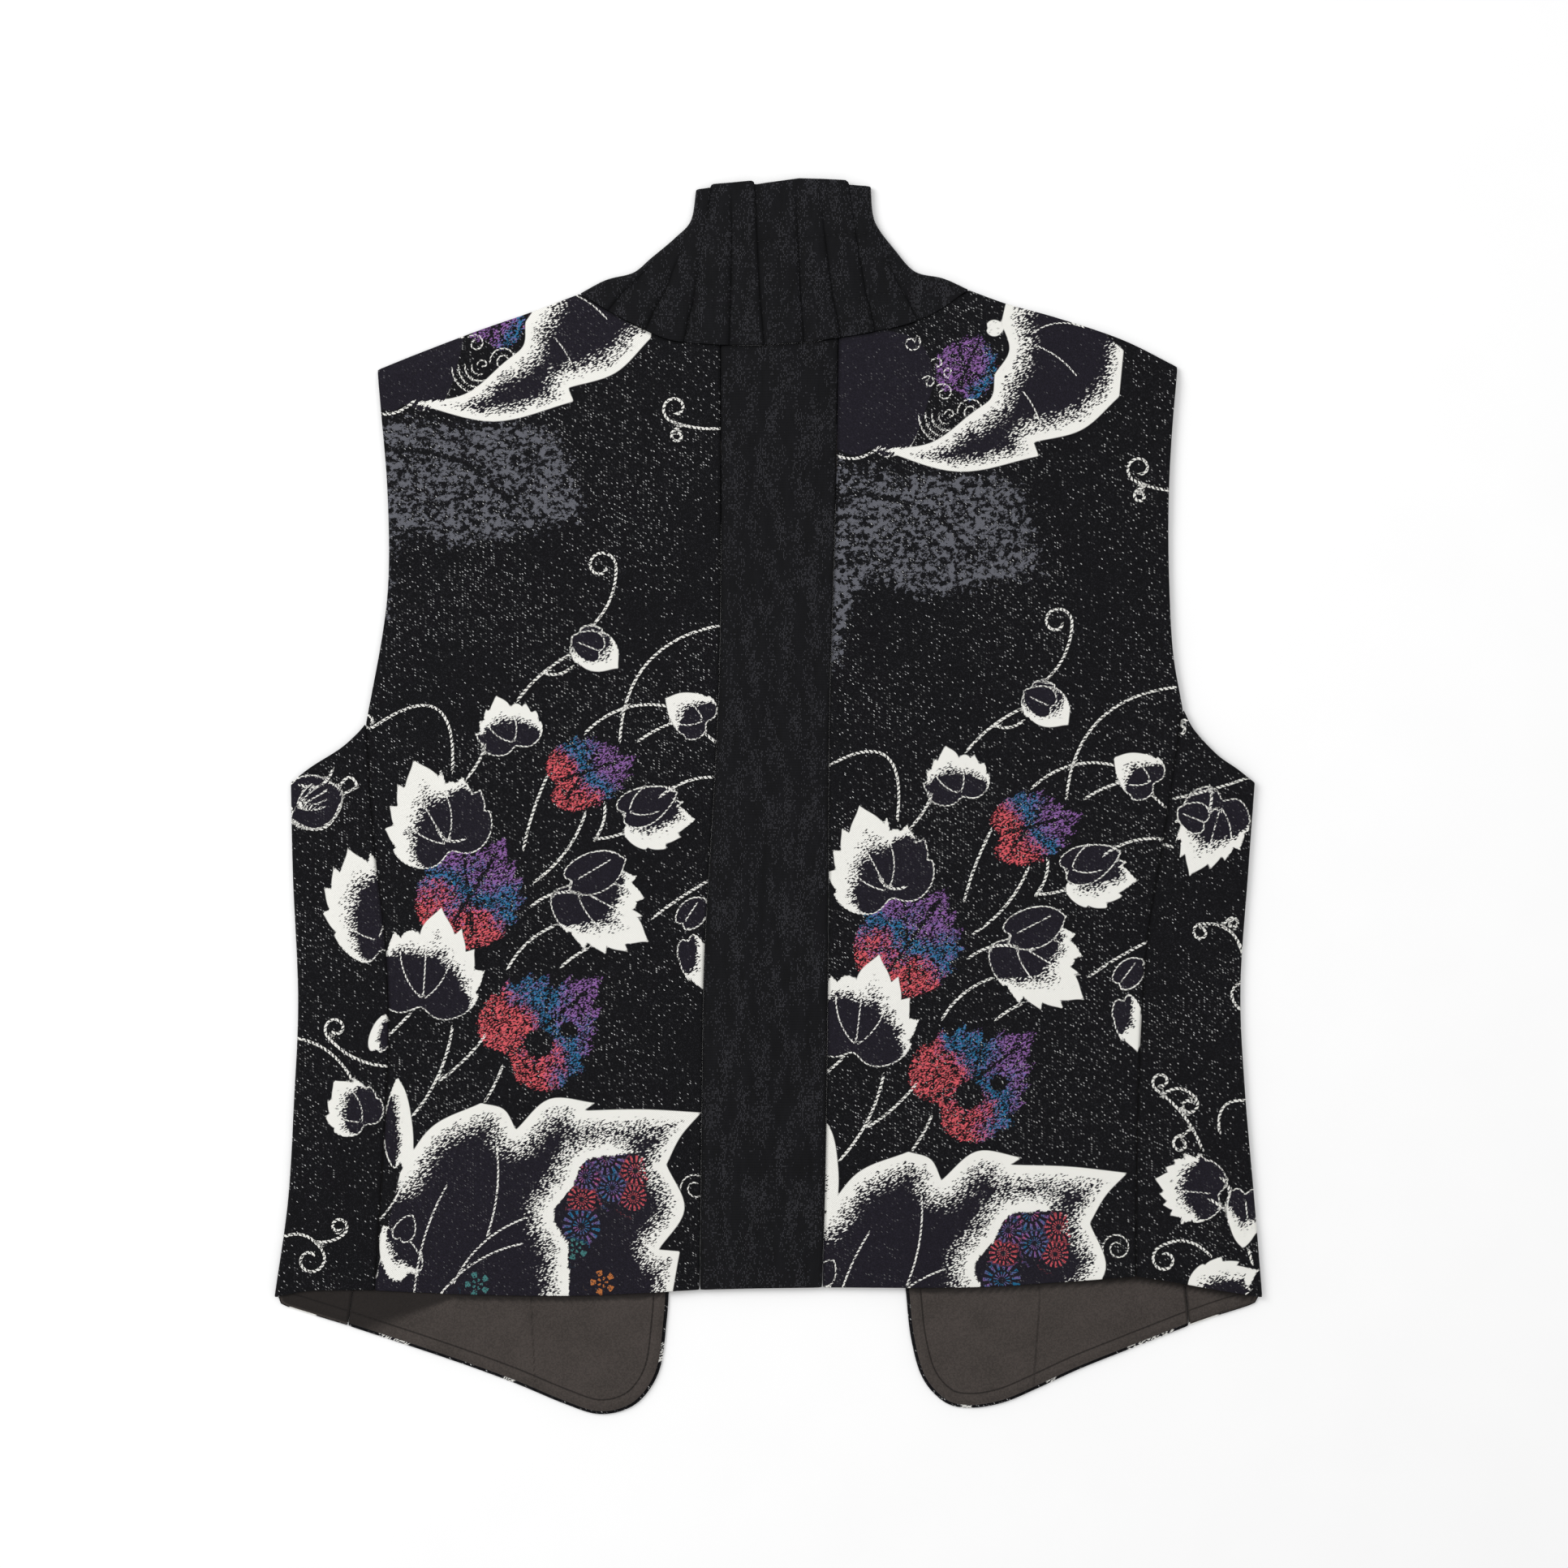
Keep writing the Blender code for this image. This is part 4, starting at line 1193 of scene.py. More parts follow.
class Shade:
    """One material's tree, with one way of adding nodes."""

    def __init__(self, name):
        self.material = bpy.data.materials.new(name)
        self.material.use_nodes = True
        self.tree = self.material.node_tree
        self.tree.nodes.clear()

    def node(self, kind, settings=None, values=None):
        """A node of this kind: its settings first, then the values or links of its inputs."""
        made = self.tree.nodes.new(kind)
        for name, setting in (settings or {}).items():
            setattr(made, name, setting)
        for key, value in (values or {}).items():
            socket = made.inputs[key]
            if isinstance(value, Value):
                value = value.socket
            if isinstance(value, bpy.types.NodeSocket):
                self.tree.links.new(value, socket)
            elif hasattr(value, "__len__") and socket.type == "RGBA":
                socket.default_value = (*value[:3], 1)
            else:
                socket.default_value = value
        return made

    def math(self, operation, *terms, clamp=False):
        settings = {"operation": operation, "use_clamp": clamp}
        return Value(self, self.node("ShaderNodeMath", settings, dict(enumerate(terms))).outputs[0])

    def vector(self, operation, first, second=None, scale=None):
        values = {0: first}
        if second is not None:
            values[1] = second
        if scale is not None:
            values["Scale"] = scale
        return self.node("ShaderNodeVectorMath", {"operation": operation}, values).outputs[0]

    def parts(self, socket):
        split = self.node("ShaderNodeSeparateXYZ", None, {0: socket})
        return [Value(self, out) for out in split.outputs]

    def joined(self, x, y, z=0.0):
        return self.node("ShaderNodeCombineXYZ", None, {0: x, 1: y, 2: z}).outputs[0]

    def field(self, name):
        return self.parts(self.node("ShaderNodeAttribute", {"attribute_name": name}).outputs["Vector"])

    def place(self):
        """The object's own coordinates in millimetres."""
        coordinates = self.node("ShaderNodeTexCoord").outputs["Object"]
        return self.vector("SCALE", coordinates, scale=1000.0)

    def noise(self, at, scale, detail=2.0, roughness=0.5):
        made = self.node(
            "ShaderNodeTexNoise", {"noise_dimensions": "3D"},
            {"Vector": at, "Scale": scale, "Detail": detail, "Roughness": roughness},
        )
        return Value(self, made.outputs["Fac"])

    def speckle(self, x, y):
        """Random numbers, the same throughout each unit square of these coordinates: one, and a vector."""
        at = self.vector("FLOOR", self.joined(x, y))
        made = self.node("ShaderNodeTexWhiteNoise", {"noise_dimensions": "3D"}, {"Vector": at})
        return Value(self, made.outputs["Value"]), made.outputs["Color"]

    def mix(self, factor, first, second):
        settings = {"data_type": "RGBA", "clamp_factor": True}
        return self.node("ShaderNodeMix", settings, {"Factor": factor, 6: first, 7: second}).outputs[2]

    def ramp(self, factor, stops):
        made = self.node("ShaderNodeValToRGB", None, {"Fac": factor})
        elements = made.color_ramp.elements
        while len(elements) < len(stops):
            elements.new(0.5)
        for element, (position, colour) in zip(elements, stops):
            element.position = position
            element.color = (*colour, 1)
        return made.outputs["Color"]

    def finish(self, colour, roughness, bump, depth, specular, sheen):
        """The material with this colour and roughness, and a relief of this depth in millimetres."""
        normal = self.node("ShaderNodeBump", None, {"Height": bump, "Strength": 1.0, "Distance": depth * MM})
        shader = self.node(
            "ShaderNodeBsdfPrincipled", None,
            {
                "Base Color": colour, "Roughness": roughness, "Normal": normal.outputs[0],
                "Specular IOR Level": specular, "Sheen Weight": sheen, "Sheen Tint": (1, 1, 1),
                "Sheen Roughness": 0.5,
            },
        )
        self.node("ShaderNodeOutputMaterial", None, {"Surface": shader.outputs[0]})
        return self.material


def slanted(shade, x, y, along, across, slope):
    """Coordinates in which slanting dashes of this size are squares, in rows set off from each other."""
    angle = math.radians(slope)
    row = (y * math.cos(angle) - x * math.sin(angle)) / across
    shift = (row.made("FLOOR") * 0.377).part()
    return (x * math.cos(angle) + y * math.sin(angle)) / along + shift, row


def patterned_material(settings):
    """Black cloth with a woven vine: white yarn that thins out in slanting dashes, and coloured leaves."""
    shade = Shade("patterned_cloth")
    place = shade.place()
    x, y, _ = shade.parts(place)
    leaf, pale, grey = shade.field("leaf")
    side, reach, crease = shade.field("stem")
    bloom, dye, hue = shade.field("bloom")
    petal_x, petal_y, petal_hue = shade.field("flower")
    run = shade.field("cord")[0]
    thread = settings.thread / MM

    first, second = slanted(shade, x, y, 2.4 * thread, thread, 24)
    dashes, _ = shade.speckle(first, second)
    cells, _ = shade.speckle(x / thread, y / thread)
    streaks = shade.noise(shade.joined(first, second), 0.35, 3.0, 0.7).between(0.25, 0.75)
    cover = ((0.87 * dashes + 0.13 * streaks - 0.5) * 1.08 + 0.5).made("ADD", 0, clamp=True)
    twill = ((x * 0.8 + y) / (2.4 * thread)).part()

    # the ground: pin dots in rows, and slanting white flecks
    pins = (x * (math.tau / 0.86)).sine() * (y * (math.tau / 0.86)).sine()
    broad = shade.noise(place, 0.016, 2.0)
    ground = shade.mix((pins > 0.35) * 0.4, settings.ground[:], colour_of(38, 38, 42))
    ground = shade.mix((cells > 0.84) * 0.4, ground, colour_of(44, 44, 48))
    inner = shade.mix((cells > 0.62) * 0.35, settings.charcoal[:], colour_of(44, 41, 52))
    inside_leaf = 1 - leaf.between(-0.25, 0.25)
    cloth = shade.mix(inside_leaf, ground, inner)

    # the mottled grey patch
    blotch = shade.noise(shade.joined(x * 0.9, y), 0.3, 5.0, 0.72).between(0.32, 0.68) * 0.84 + dashes * 0.16
    worn = shade.noise(place, 0.07, 3.0, 0.6).between(0.3, 0.62) * 0.32 + 0.68
    grey_yarn = (grey * worn - blotch).between(0, 0.05) * (grey > 0.02) * (1 - inside_leaf)
    grey_colour = shade.mix(twill.between(0.35, 0.9) * 0.5, settings.grey[:], colour_of(62, 63, 70))
    cloth = shade.mix(grey_yarn, cloth, grey_colour)

    # flecks of white yarn
    fleck_x, fleck_y = x / 1.36, (y + x * 0.4) / 1.2
    chance, shift = shade.speckle(fleck_x, fleck_y)
    shift_x, shift_y, shine = shade.parts(shift)
    off_x = fleck_x.part() - 0.25 - shift_x * 0.5
    off_y = fleck_y.part() - 0.25 - shift_y * 0.5
    thin = (off_x * 0.5 + off_y * 0.87) / 0.16
    long = (off_x * 0.87 - off_y * 0.5) / 0.34
    fleck = (thin * thin + long * long) < 1
    wanted = chance < (0.06 + broad.between(0.32, 0.68) * 0.31)
    flecks = fleck * wanted * (1 - grey_yarn) * (1 - inside_leaf * 0.8)
    cloth = shade.mix(flecks * (0.05 + shine.to_power(2.1) * 0.92), cloth, colour_of(222, 222, 222))

    # coloured leaves, broken up by dark crooked veins
    marble = (abs(shade.noise(place, 0.26, 4.0, 0.65) - 0.5) * 12).least(1)
    grain = shade.noise(place, 1.1, 3.0, 0.7).between(0.3, 0.7) * 0.4 + cover * 0.6
    edge = (0.0 - bloom).between(-0.8, 1.6)
    dyed = (dye * edge * (0.52 + marble * 0.48) - grain).between(0, 0.08) * (1 - inside_leaf)
    wander = shade.noise(place, 0.22, 3.0) - 0.5
    dye_colour = shade.ramp(
        hue + wander * 0.36 + (cells - 0.5) * 0.2,
        ((0.0, settings.red), (0.34, settings.red), (0.45, settings.purple), (0.51, settings.blue),
         (0.63, settings.blue), (0.73, settings.purple), (1.0, settings.purple)),
    )
    cloth = shade.mix(dyed, cloth, dye_colour)

    # small chrysanthemums and buds in the hem leaf's window
    size = shade.math("SQRT", petal_x * petal_x + petal_y * petal_y)
    turn = shade.math("ARCTAN2", petal_y, petal_x)
    bud = petal_hue > 0.7
    count = 15.0 - bud * 10.0
    spokes = abs((turn * count / math.tau).part() - 0.5)
    half_spokes = abs((turn * count / math.tau + 0.5).part() - 0.5)
    outer = (spokes < 0.22) * (size > 0.54) * (size < 0.98)
    middle = (half_spokes < 0.2) * (size > 0.18) * (size < 0.44)
    petals = outer.most(middle) * (cells < 0.8) * (pale < 0.3) * inside_leaf
    petal_colour = shade.ramp(
        petal_hue + wander * (1 - bud) * 0.9,
        ((0.0, settings.red), (0.2, settings.red), (0.36, settings.purple), (0.55, settings.blue),
         (0.7, settings.blue), (0.82, settings.teal), (1.0, settings.orange)),
    )
    cloth = shade.mix(petals * 0.72, cloth, petal_colour)

    # white yarn: rims and stems
    rims = (pale - cover).between(0, 0.08) * inside_leaf
    cord = (run / 2.4 + side * 0.4).part() > 0.4
    stems = (abs(side) < STEM_HALF) * (reach < 1.5) * cord.most(cells > 0.75) * (dashes > 0.1)
    white_yarn = rims.most(stems)
    white = shade.mix(twill.between(0.55, 0.95) * 0.4, settings.pale[:], colour_of(150, 149, 146))
    cloth = shade.mix(white_yarn, cloth, white)
    # painted shade in the seams' grooves
    cloth = shade.mix(crease * 0.75, cloth, colour_of(5, 5, 6))

    ribs = (twill - 0.5) * 0.4 + cells * 0.35 + white_yarn * 0.9 + dyed * 0.5 + flecks * 0.5 + pins * 0.12
    roughness = 0.78 - white_yarn * 0.12
    return shade.finish(cloth, roughness, ribs, 0.16, 0.06, 0.02)


def plain_material(settings):
    """Plain black silk-like cloth: fine ribs, faint crinkles with painted shading, patches of tiny upright
    painted glints, and painted shade in its grooves.
    """
    shade = Shade("plain_cloth")
    place = shade.place()
    x, y, _ = shade.parts(place)
    _, _, crease = shade.field("stem")
    thread = settings.thread / MM
    glint_x, glint_y = x / (1.3 * thread), y / (2.1 * thread)
    chance, _ = shade.speckle(glint_x, glint_y)
    dash = (abs(glint_x.part() - 0.5) < 0.3) * (abs(glint_y.part() - 0.5) < 0.4)
    crinkle = shade.noise(shade.joined(x * 0.22, y * 0.05), 1.0, 4.0, 0.6)
    patches = shade.noise(shade.joined(x * 0.15, y * 0.04), 1.0, 3.0, 0.5)
    glint = dash * (chance < patches.between(0.4, 0.9))
    # painted shading: the crinkles made lighter and darker with the same noise as their relief
    cloth = shade.mix(crinkle.between(0.3, 0.7), settings.plain[:], colour_of(19, 19, 22))
    # painted glints in patches along the crinkles
    cloth = shade.mix(glint * 0.44, cloth, colour_of(84, 84, 90))
    # painted shade in the seams' grooves and the collar's pleat grooves and sewn rows
    cloth = shade.mix(crease * 0.85, cloth, colour_of(4, 4, 5))
    ribs = (y * (math.tau / (2 * thread))).sine() * 0.25 + crinkle * 2.0 + glint * 0.5
    return shade.finish(cloth, 0.68, ribs, 0.3, 0.09, 0.02)


def lining_material(settings):
    """Taupe lining in plain weave, with painted shade in its stitched groove and its seams, and the back
    hem's painted shadow below the hem.
    """
    shade = Shade("lining_cloth")
    place = shade.place()
    x, y, _ = shade.parts(place)
    groove, seam, crease = shade.field("stem")
    thread = settings.thread / MM
    weave = (x * (math.pi / thread)).sine() * (y * (math.pi / thread)).sine()
    cells, _ = shade.speckle(x / (1.5 * thread), y / (1.5 * thread))
    broad = shade.noise(place, 0.045, 4.0, 0.6)
    cloth = shade.mix(broad.between(0.3, 0.7), settings.lining[:], colour_of(57, 52, 49))
    cloth = shade.mix((cells > 0.6) * 0.14, cloth, colour_of(96, 88, 83))
    cloth = shade.mix((cells < 0.1) * 0.25, cloth, colour_of(40, 36, 34))
    # painted shade in the stitched groove and the seams, which also sink the relief
    sewn = (1 - (abs(groove) / 0.55)).most(0).most((1 - (seam / 0.8)).most(0) * 0.8)
    cloth = shade.mix(sewn * 0.75, cloth, colour_of(26, 23, 21))
    # painted shadow of the back's hem
    cloth = shade.mix(crease * 0.8, cloth, colour_of(26, 23, 22))
    edge_roll = (1 - (abs(groove + 3.0) / 3.2)).most(0)
    relief = weave * 0.3 + cells * 0.25 + broad * 3.0 + edge_roll * 4.0 - sewn * 3.0
    return shade.finish(cloth, 0.8, relief, 0.12, 0.12, 0.05)


def thread_material(name, light, dark):
    """Sewing thread with its twist."""
    shade = Shade(name)
    x, y, _ = shade.parts(shade.place())
    twist = ((x + y) * 2.6).part()
    colour = shade.mix(twist.between(0.2, 0.9), colour_of(*light), colour_of(*dark))
    return shade.finish(colour, 0.6, twist, 0.05, 0.3, 0.0)


MATERIALS = {
    "patterned_cloth": patterned_material,
    "plain_cloth": plain_material,
    "lining_cloth": lining_material,
    "lining_thread": lambda _: thread_material("lining_thread", (40, 34, 31), (24, 20.4, 18.6)),
    "black_thread": lambda _: thread_material("black_thread", (30, 30, 33), (18, 18, 19.8)),
}


def material(name):
    """A material of this garment, made when it is first asked for."""
    known = bpy.data.materials.get(name)
    if known and known.get("ready"):
        return known
    made = MATERIALS[name](bpy.context.scene.waistcoat)
    made.name = name
    made["ready"] = True
    return made


# Stitches, by Geometry Nodes


def stitch_tree():
    """A tree that lays a stitch at each pitch along a curve."""
    tree = bpy.data.node_groups.new("stitch_row", "GeometryNodeTree")
    sockets = {
        "Geometry": "Geometry", "Pitch": "Float", "Length": "Float", "Thickness": "Float",
        "Thread": "Material",
    }
    for name, kind in sockets.items():
        tree.interface.new_socket(name, in_out="INPUT", socket_type="NodeSocket" + kind)
    tree.interface.new_socket("Geometry", in_out="OUTPUT", socket_type="NodeSocketGeometry")

    def node(kind, settings=None, links=None):
        made = tree.nodes.new(kind)
        for name, setting in (settings or {}).items():
            setattr(made, name, setting)
        for key, value in (links or {}).items():
            if isinstance(value, bpy.types.NodeSocket):
                tree.links.new(value, made.inputs[key])
            else:
                made.inputs[key].default_value = value
        return made

    given = node("NodeGroupInput").outputs
    places = {"Curve": given[0], "Length": given["Pitch"]}
    along = node("GeometryNodeResampleCurve", {"mode": "LENGTH"}, places)
    tangent = node("GeometryNodeInputTangent")
    turned = node("FunctionNodeAlignRotationToVector", {"axis": "X"}, {"Vector": tangent.outputs[0]})
    bead = node("GeometryNodeMeshUVSphere", None, {"Segments": 8, "Rings": 5, "Radius": 0.5})
    scale = node(
        "ShaderNodeCombineXYZ", None, {0: given["Length"], 1: given["Thickness"], 2: given["Thickness"]}
    )
    laid = node(
        "GeometryNodeInstanceOnPoints", None,
        {
            "Points": along.outputs[0], "Instance": bead.outputs[0], "Rotation": turned.outputs[0],
            "Scale": scale.outputs[0],
        },
    )
    real = node("GeometryNodeRealizeInstances", None, {0: laid.outputs[0]})
    dressed = node(
        "GeometryNodeSetMaterial", None, {"Geometry": real.outputs[0], "Material": given["Thread"]}
    )
    node("NodeGroupOutput", None, {0: dressed.outputs[0]})
    return tree


def sew(name, routes, length, thickness, thread):
    """One mesh of stitches along routes of (x, y, z) points, each of them this share of the pitch long."""
    pitch = bpy.context.scene.waistcoat.stitch_pitch
    curve = bpy.data.curves.new(name + "_route", "CURVE")
    curve.dimensions = "3D"
    for route in routes:
        spline = curve.splines.new("POLY")
        spline.points.add(len(route) - 1)
        for point, place in zip(spline.points, route):
            point.co = (*(place * MM), 1)
    guide = placed(name + "_route", curve)
    rows = guide.modifiers.new("stitches", "NODES")
    rows.node_group = bpy.data.node_groups.get("stitch_row") or stitch_tree()
    wanted = {
        "Pitch": pitch, "Length": length * pitch, "Thickness": thickness * MM, "Thread": material(thread)
    }
    for item in rows.node_group.interface.items_tree:
        if item.in_out == "INPUT" and item.name in wanted:
            rows[item.identifier] = wanted[item.name]
    graph = bpy.context.evaluated_depsgraph_get()
    mesh = bpy.data.meshes.new_from_object(guide.evaluated_get(graph))
    mesh.name = name
    mesh.shade_smooth()
    bpy.data.objects.remove(guide, do_unlink=True)
    piece = placed(name, mesh)
    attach(piece, BODY)


# The pieces


def sided_patch(side, edges, insets, step):
    """An even patch whose bottom and top run from the garment's outer side inwards.

    The edges are the bottom, the inner side, the top and the outer side, and it is drawn in from each by
    its own inset.
    """
    if side == "left":
        return even_patch(edges, insets, step)
    bottom, inner, top, outer = edges
    in_bottom, in_inner, in_top, in_outer = insets
    return even_patch((bottom[::-1], outer, top[::-1], inner), (in_bottom, in_outer, in_top, in_inner), step)


def edge_shadow(grid, names):
    """Darkness in the groove of each named seam."""
    near = np.min([far_from(grid, line(name)) for name in names], axis=0)
    return np.exp(-(near**2)).reshape(-1)


def plain_fields(grid, **values):
    """The fields of cloth without a pattern, which are these alone."""
    fields = Fields(grid[..., :2].reshape(-1, 2))
    for name, value in values.items():
        setattr(fields, name, value.reshape(-1))
    return {"stem": fields.packed()["stem"]}


def make_back_panel(side):
    """A patterned panel of the back."""
    seams = tuple(seam + side for seam in ("strip_", "seam_", "neck_"))
    hem, neck, shoulder = (line(edge + side) for edge in ("hem_", "neck_", "shoulder_"))
    if side == "right":
        hem, neck = hem[::-1], neck[::-1]
    outer = joined(line("armhole_" + side), line("seam_" + side))[::-1]
    edges = (hem, line("strip_" + side)[::-1], joined(shoulder[::-1], neck), outer)
    flat = sided_patch(side, edges, (RIM, RIM + SEAM_GAP / 2, RIM, RIM), PATTERN_STEP)
    grid = with_height(flat, back_height(flat) + seam_dip(flat, seams, PANEL_PUCKER))
    fields = vine_fields(flat, REPEATS["back_" + side])
    fields.crease = edge_shadow(flat, seams)
    lay_sheet(
        "panel_back_" + side, "back_" + side, "patterned_cloth", BACK_CUT,
        grid, fields.packed(), other_side="lining_cloth",
    )


def make_centre_strip():
    """The plain strip from the neck to the hem between the back's two panels."""
    seams = ("strip_left", "strip_right", "neck_centre")
    edges = (line("hem_centre"), line("strip_right")[::-1], line("neck_centre"), line("strip_left")[::-1])
    flat = even_patch(edges, (RIM, RIM + SEAM_GAP / 2, RIM, RIM + SEAM_GAP / 2), STRIP_STEP)
    grid = with_height(flat, back_height(flat) + seam_dip(flat, seams, PLAIN_PUCKER))
    lay_sheet(
        "strip_back_centre", "back_centre", "plain_cloth", STRIP_CUT,
        grid, plain_fields(grid, crease=edge_shadow(flat, seams)), other_side="lining_cloth",
    )


def make_side_panel(side):
    """A side panel, from its seam on the back round the folded side edge to its seam on the front."""
    seam = "seam_" + side
    fold = line("side_" + side)[::-1]
    share = np.linspace(0, 1, steps_for(length_of(fold), PATTERN_STEP) + 1)
    upper = side_half(
        line("hem_side_" + side), line("underarm_" + side), line(seam)[::-1], fold,
        share, steps_for(SIDE_ON_BACK, PATTERN_STEP),
    )
    lower = side_half(
        line("under_hem_side_" + side)[::-1], line("under_arm_" + side), line("under_" + seam)[::-1], fold,
        share, steps_for(SIDE_ON_FRONT, 2 * PATTERN_STEP),
    )
    turn = folded_edge(upper[:, -1], upper[:, -2])
    over = with_height(upper, back_height(upper) + seam_dip(upper, (seam,), PLAIN_PUCKER))
    under = with_height(lower, FRONT_MID)
    grid = thinned(np.concatenate([clear_of_fold(over), turn, clear_of_fold(under)[:, ::-1]], axis=1))
    places = opened_side(grid, -1 if side == "left" else 1)
    fields = sprig_fields(places, *SPRIGS[side])
    on_back = grid[..., 2].reshape(-1) > FOLD_RADIUS + 1
    fields.crease = edge_shadow(grid[..., :2], (seam,)) * on_back
    packed = fields.packed()
    if side == "left":
        grid, places, packed = turned_over(grid, places, packed)
    lay_sheet(
        "panel_side_" + side, "side_" + side, "patterned_cloth", SIDE_CUT,
        grid, packed, places, other_side="lining_cloth",
    )


def side_half(bottom, top, outer, fold, share, columns):
    """The part of a side panel between its seam and its fold, drawn in at its seam and its ends."""
    across = np.linspace(0, 1, columns + 1)
    grid = patch(spaced(bottom, across), spaced(top, across), spaced(outer, share), spaced(fold, share))
    rows = np.clip(share * length_of(fold), RIM, length_of(fold) - RIM) / length_of(fold)
    grid = np.stack([spaced(grid[:, c], rows) for c in range(grid.shape[1])], axis=1)
    inset = (RIM + SEAM_GAP / 2) / np.linalg.norm(grid[:, 0] - grid[:, -1], axis=1)
    return np.stack([spaced(row, start + across * (1 - start)) for row, start in zip(grid, inset)])


def clear_of_fold(half):
    """A half's columns without its fold and those that its turn takes the place of."""
    far = np.linalg.norm(half[0, :, :2] - half[0, -1, :2], axis=1)
    return half[:, far > FOLD_RADIUS + RIM + TURN_ROOM]


def opened_side(grid, sign):
    """A side panel's places on the flat cloth, with its front half opened out past the fold."""
    places = grid[..., :2].copy()
    beyond = grid[..., 2] < (BACK_MID + FRONT_MID) / 2
    edge = np.max(sign * grid[..., 0], axis=1, keepdims=True)
    places[..., 0] = np.where(beyond, sign * (2 * edge - sign * places[..., 0] + TURN_RUN), places[..., 0])
    return places


def turned_over(grid, places, packed):
    """The same wall with its columns in the opposite order, which turns its finer side over."""
    turned = {
        name: values.reshape(*grid.shape[:2], 3)[:, ::-1].reshape(-1, 3) for name, values in packed.items()
    }
    return grid[:, ::-1], places[:, ::-1], turned


def front_sides(side):
    """A front's hem, front edge, top and outer side. Hem and edge part in the middle of the rounded point."""
    run = smooth(LINES["front_hem_" + side], 400)
    tip = int(np.argmax(run @ ((1, -1) if side == "left" else (-1, -1))))
    edge = joined(run[tip:], line("front_edge_" + side))
    top = joined(line("shoulder_" + side)[::-1], line("front_neck_" + side))
    outer = joined(line("front_armhole_" + side), line("under_seam_" + side))[::-1]
    return run[: tip + 1], edge, top, outer


def make_front(side):
    """A front of patterned cloth, face down under the garment. Its turned edge shows round its point."""
    flat = sided_patch(side, front_sides(side), (RIM, RIM, RIM, RIM + SEAM_GAP / 2), FRONT_STEP)
    fields = vine_fields(flat, REPEATS["front_" + side], hem_leaf=False)
    fields.points = flat.reshape(-1, 2)
    for leaf in FRONT_LEAVES:
        fields.add_leaf(leaf)
    fields.pale *= TURNED_EDGE_PALE
    grid, flat, packed = turned_over(with_height(flat, FRONT_MID), flat, fields.packed())
    lay_sheet(
        "panel_front_" + side, "front_" + side, "patterned_cloth", FRONT_CUT,
        grid, packed, flat,
    )


def lining_patch(side, edges, insets):
    """A lining's flat grid, which stops short of these insets by the lining's rounded rim."""
    return sided_patch(side, edges, [inset + LINING_RIM for inset in insets], LINING_STEP)


def lay_lining(part, side, cut, flat, edge, lift, seam_far):
    """A lining, pressed down along its row of stitches. Gives its middle surface and the row's inset.

    lift is its height above the flat, and seam_far each point's distance from its nearest seam.
    """
    stitch_in = bpy.context.scene.waistcoat.lining_stitch_in / MM + LINING_IN_HEM
    near = far_from(flat, edge)
    lift = lift - ROW_DEPTH * np.exp(-(((near - stitch_in) / ROW_WIDTH) ** 2))
    grid = with_height(flat, LINING_MID + np.clip(lift, -0.25, 0.3))
    fields = plain_fields(flat, side=near - stitch_in, reach=seam_far, crease=hem_shadow(flat))
    lay_sheet(
        f"lining_{part}_{side}", f"{part}_{side}_lining", "lining_cloth", cut,
        grid, fields
    )
    return grid, stitch_in


def make_front_lining(side):
    """The lining of a front, with its dart seam. Gives the places of its row of stitches."""
    hem, edge, top, outer = front_sides(side)
    insets = (LINING_IN_HEM, LINING_IN_HEM, LINING_IN_TOP, LINING_IN_SEAM)
    flat = lining_patch(side, (hem, edge, top, outer), insets)
    dart_far = far_from(flat, np.array(DARTS[side], float))
    lift = folds_height(flat, LINING_FOLDS) - DART_DEPTH * np.exp(-((dart_far / DART_WIDTH) ** 2))
    seam_far = np.minimum(dart_far, seam_edge(flat, side))
    round_edge = joined(hem, edge)
    grid, stitch_in = lay_lining("front", side, FRONT_LINING_CUT, flat, round_edge, lift, seam_far)
    return stitch_route(round_edge, grid, stitch_in)


def make_side_lining(side):
    """The lining of a side panel's front part, whose end shows below the hem at the side."""
    hem, fold = line("under_hem_side_" + side), line("side_" + side)[::-1]
    seam, arm = line("under_seam_" + side)[::-1], line("under_arm_" + side)[::-1]
    insets = (LINING_IN_HEM, LINING_IN_SEAM, LINING_IN_TOP, 2 * FOLD_RADIUS + CLOTH)
    flat = lining_patch(side, (hem, seam, arm, fold), insets)
    lay_lining("side", side, SIDE_LINING_CUT, flat, hem, 0, seam_edge(flat, side))


def seam_edge(flat, side):
    """The distance of a lining's points from its edge at the seam between front and side."""
    return far_from(flat, line("under_seam_" + side)) - LINING_IN_SEAM - LINING_RIM


def hem_shadow(flat):
    """The shadow that the back's hem casts on the linings, widest where the hem stands clear at the left."""
    left = joined(line("hem_side_left")[::-1], line("hem_left"), line("hem_centre"))
    right = joined(line("hem_right"), line("hem_side_right"))
    below = np.minimum(far_from(flat, left), far_from(flat, right))
    wide = 3 + 0.45 * np.maximum(0, -165 - flat[..., 0])
    return 1 - eased((below - 0.7 * wide) / (0.5 * wide))


def stitch_route(edge, grid, inset):
    """The points on a sheet's top along its edge, at this distance inside it and below the back's hem."""
    way = np.gradient(edge, axis=0)
    normal = unit(np.column_stack([-way[:, 1], way[:, 0]]))
    middle = grid[..., :2].reshape(-1, 2).mean(0)
    toward = np.sign(((middle - edge) * normal).sum(1).mean())
    route = edge + toward * inset * normal
    route = route[(route[:, 1] < ROW_TOP) & (route[:, 1] > ROW_BOTTOM)]
    places = grid.reshape(-1, 3)
    heights = [places[np.argmin(((places[:, :2] - point) ** 2).sum(1)), 2] for point in route]
    return np.column_stack([route, np.array(heights) + LINING_RIM + 0.02])


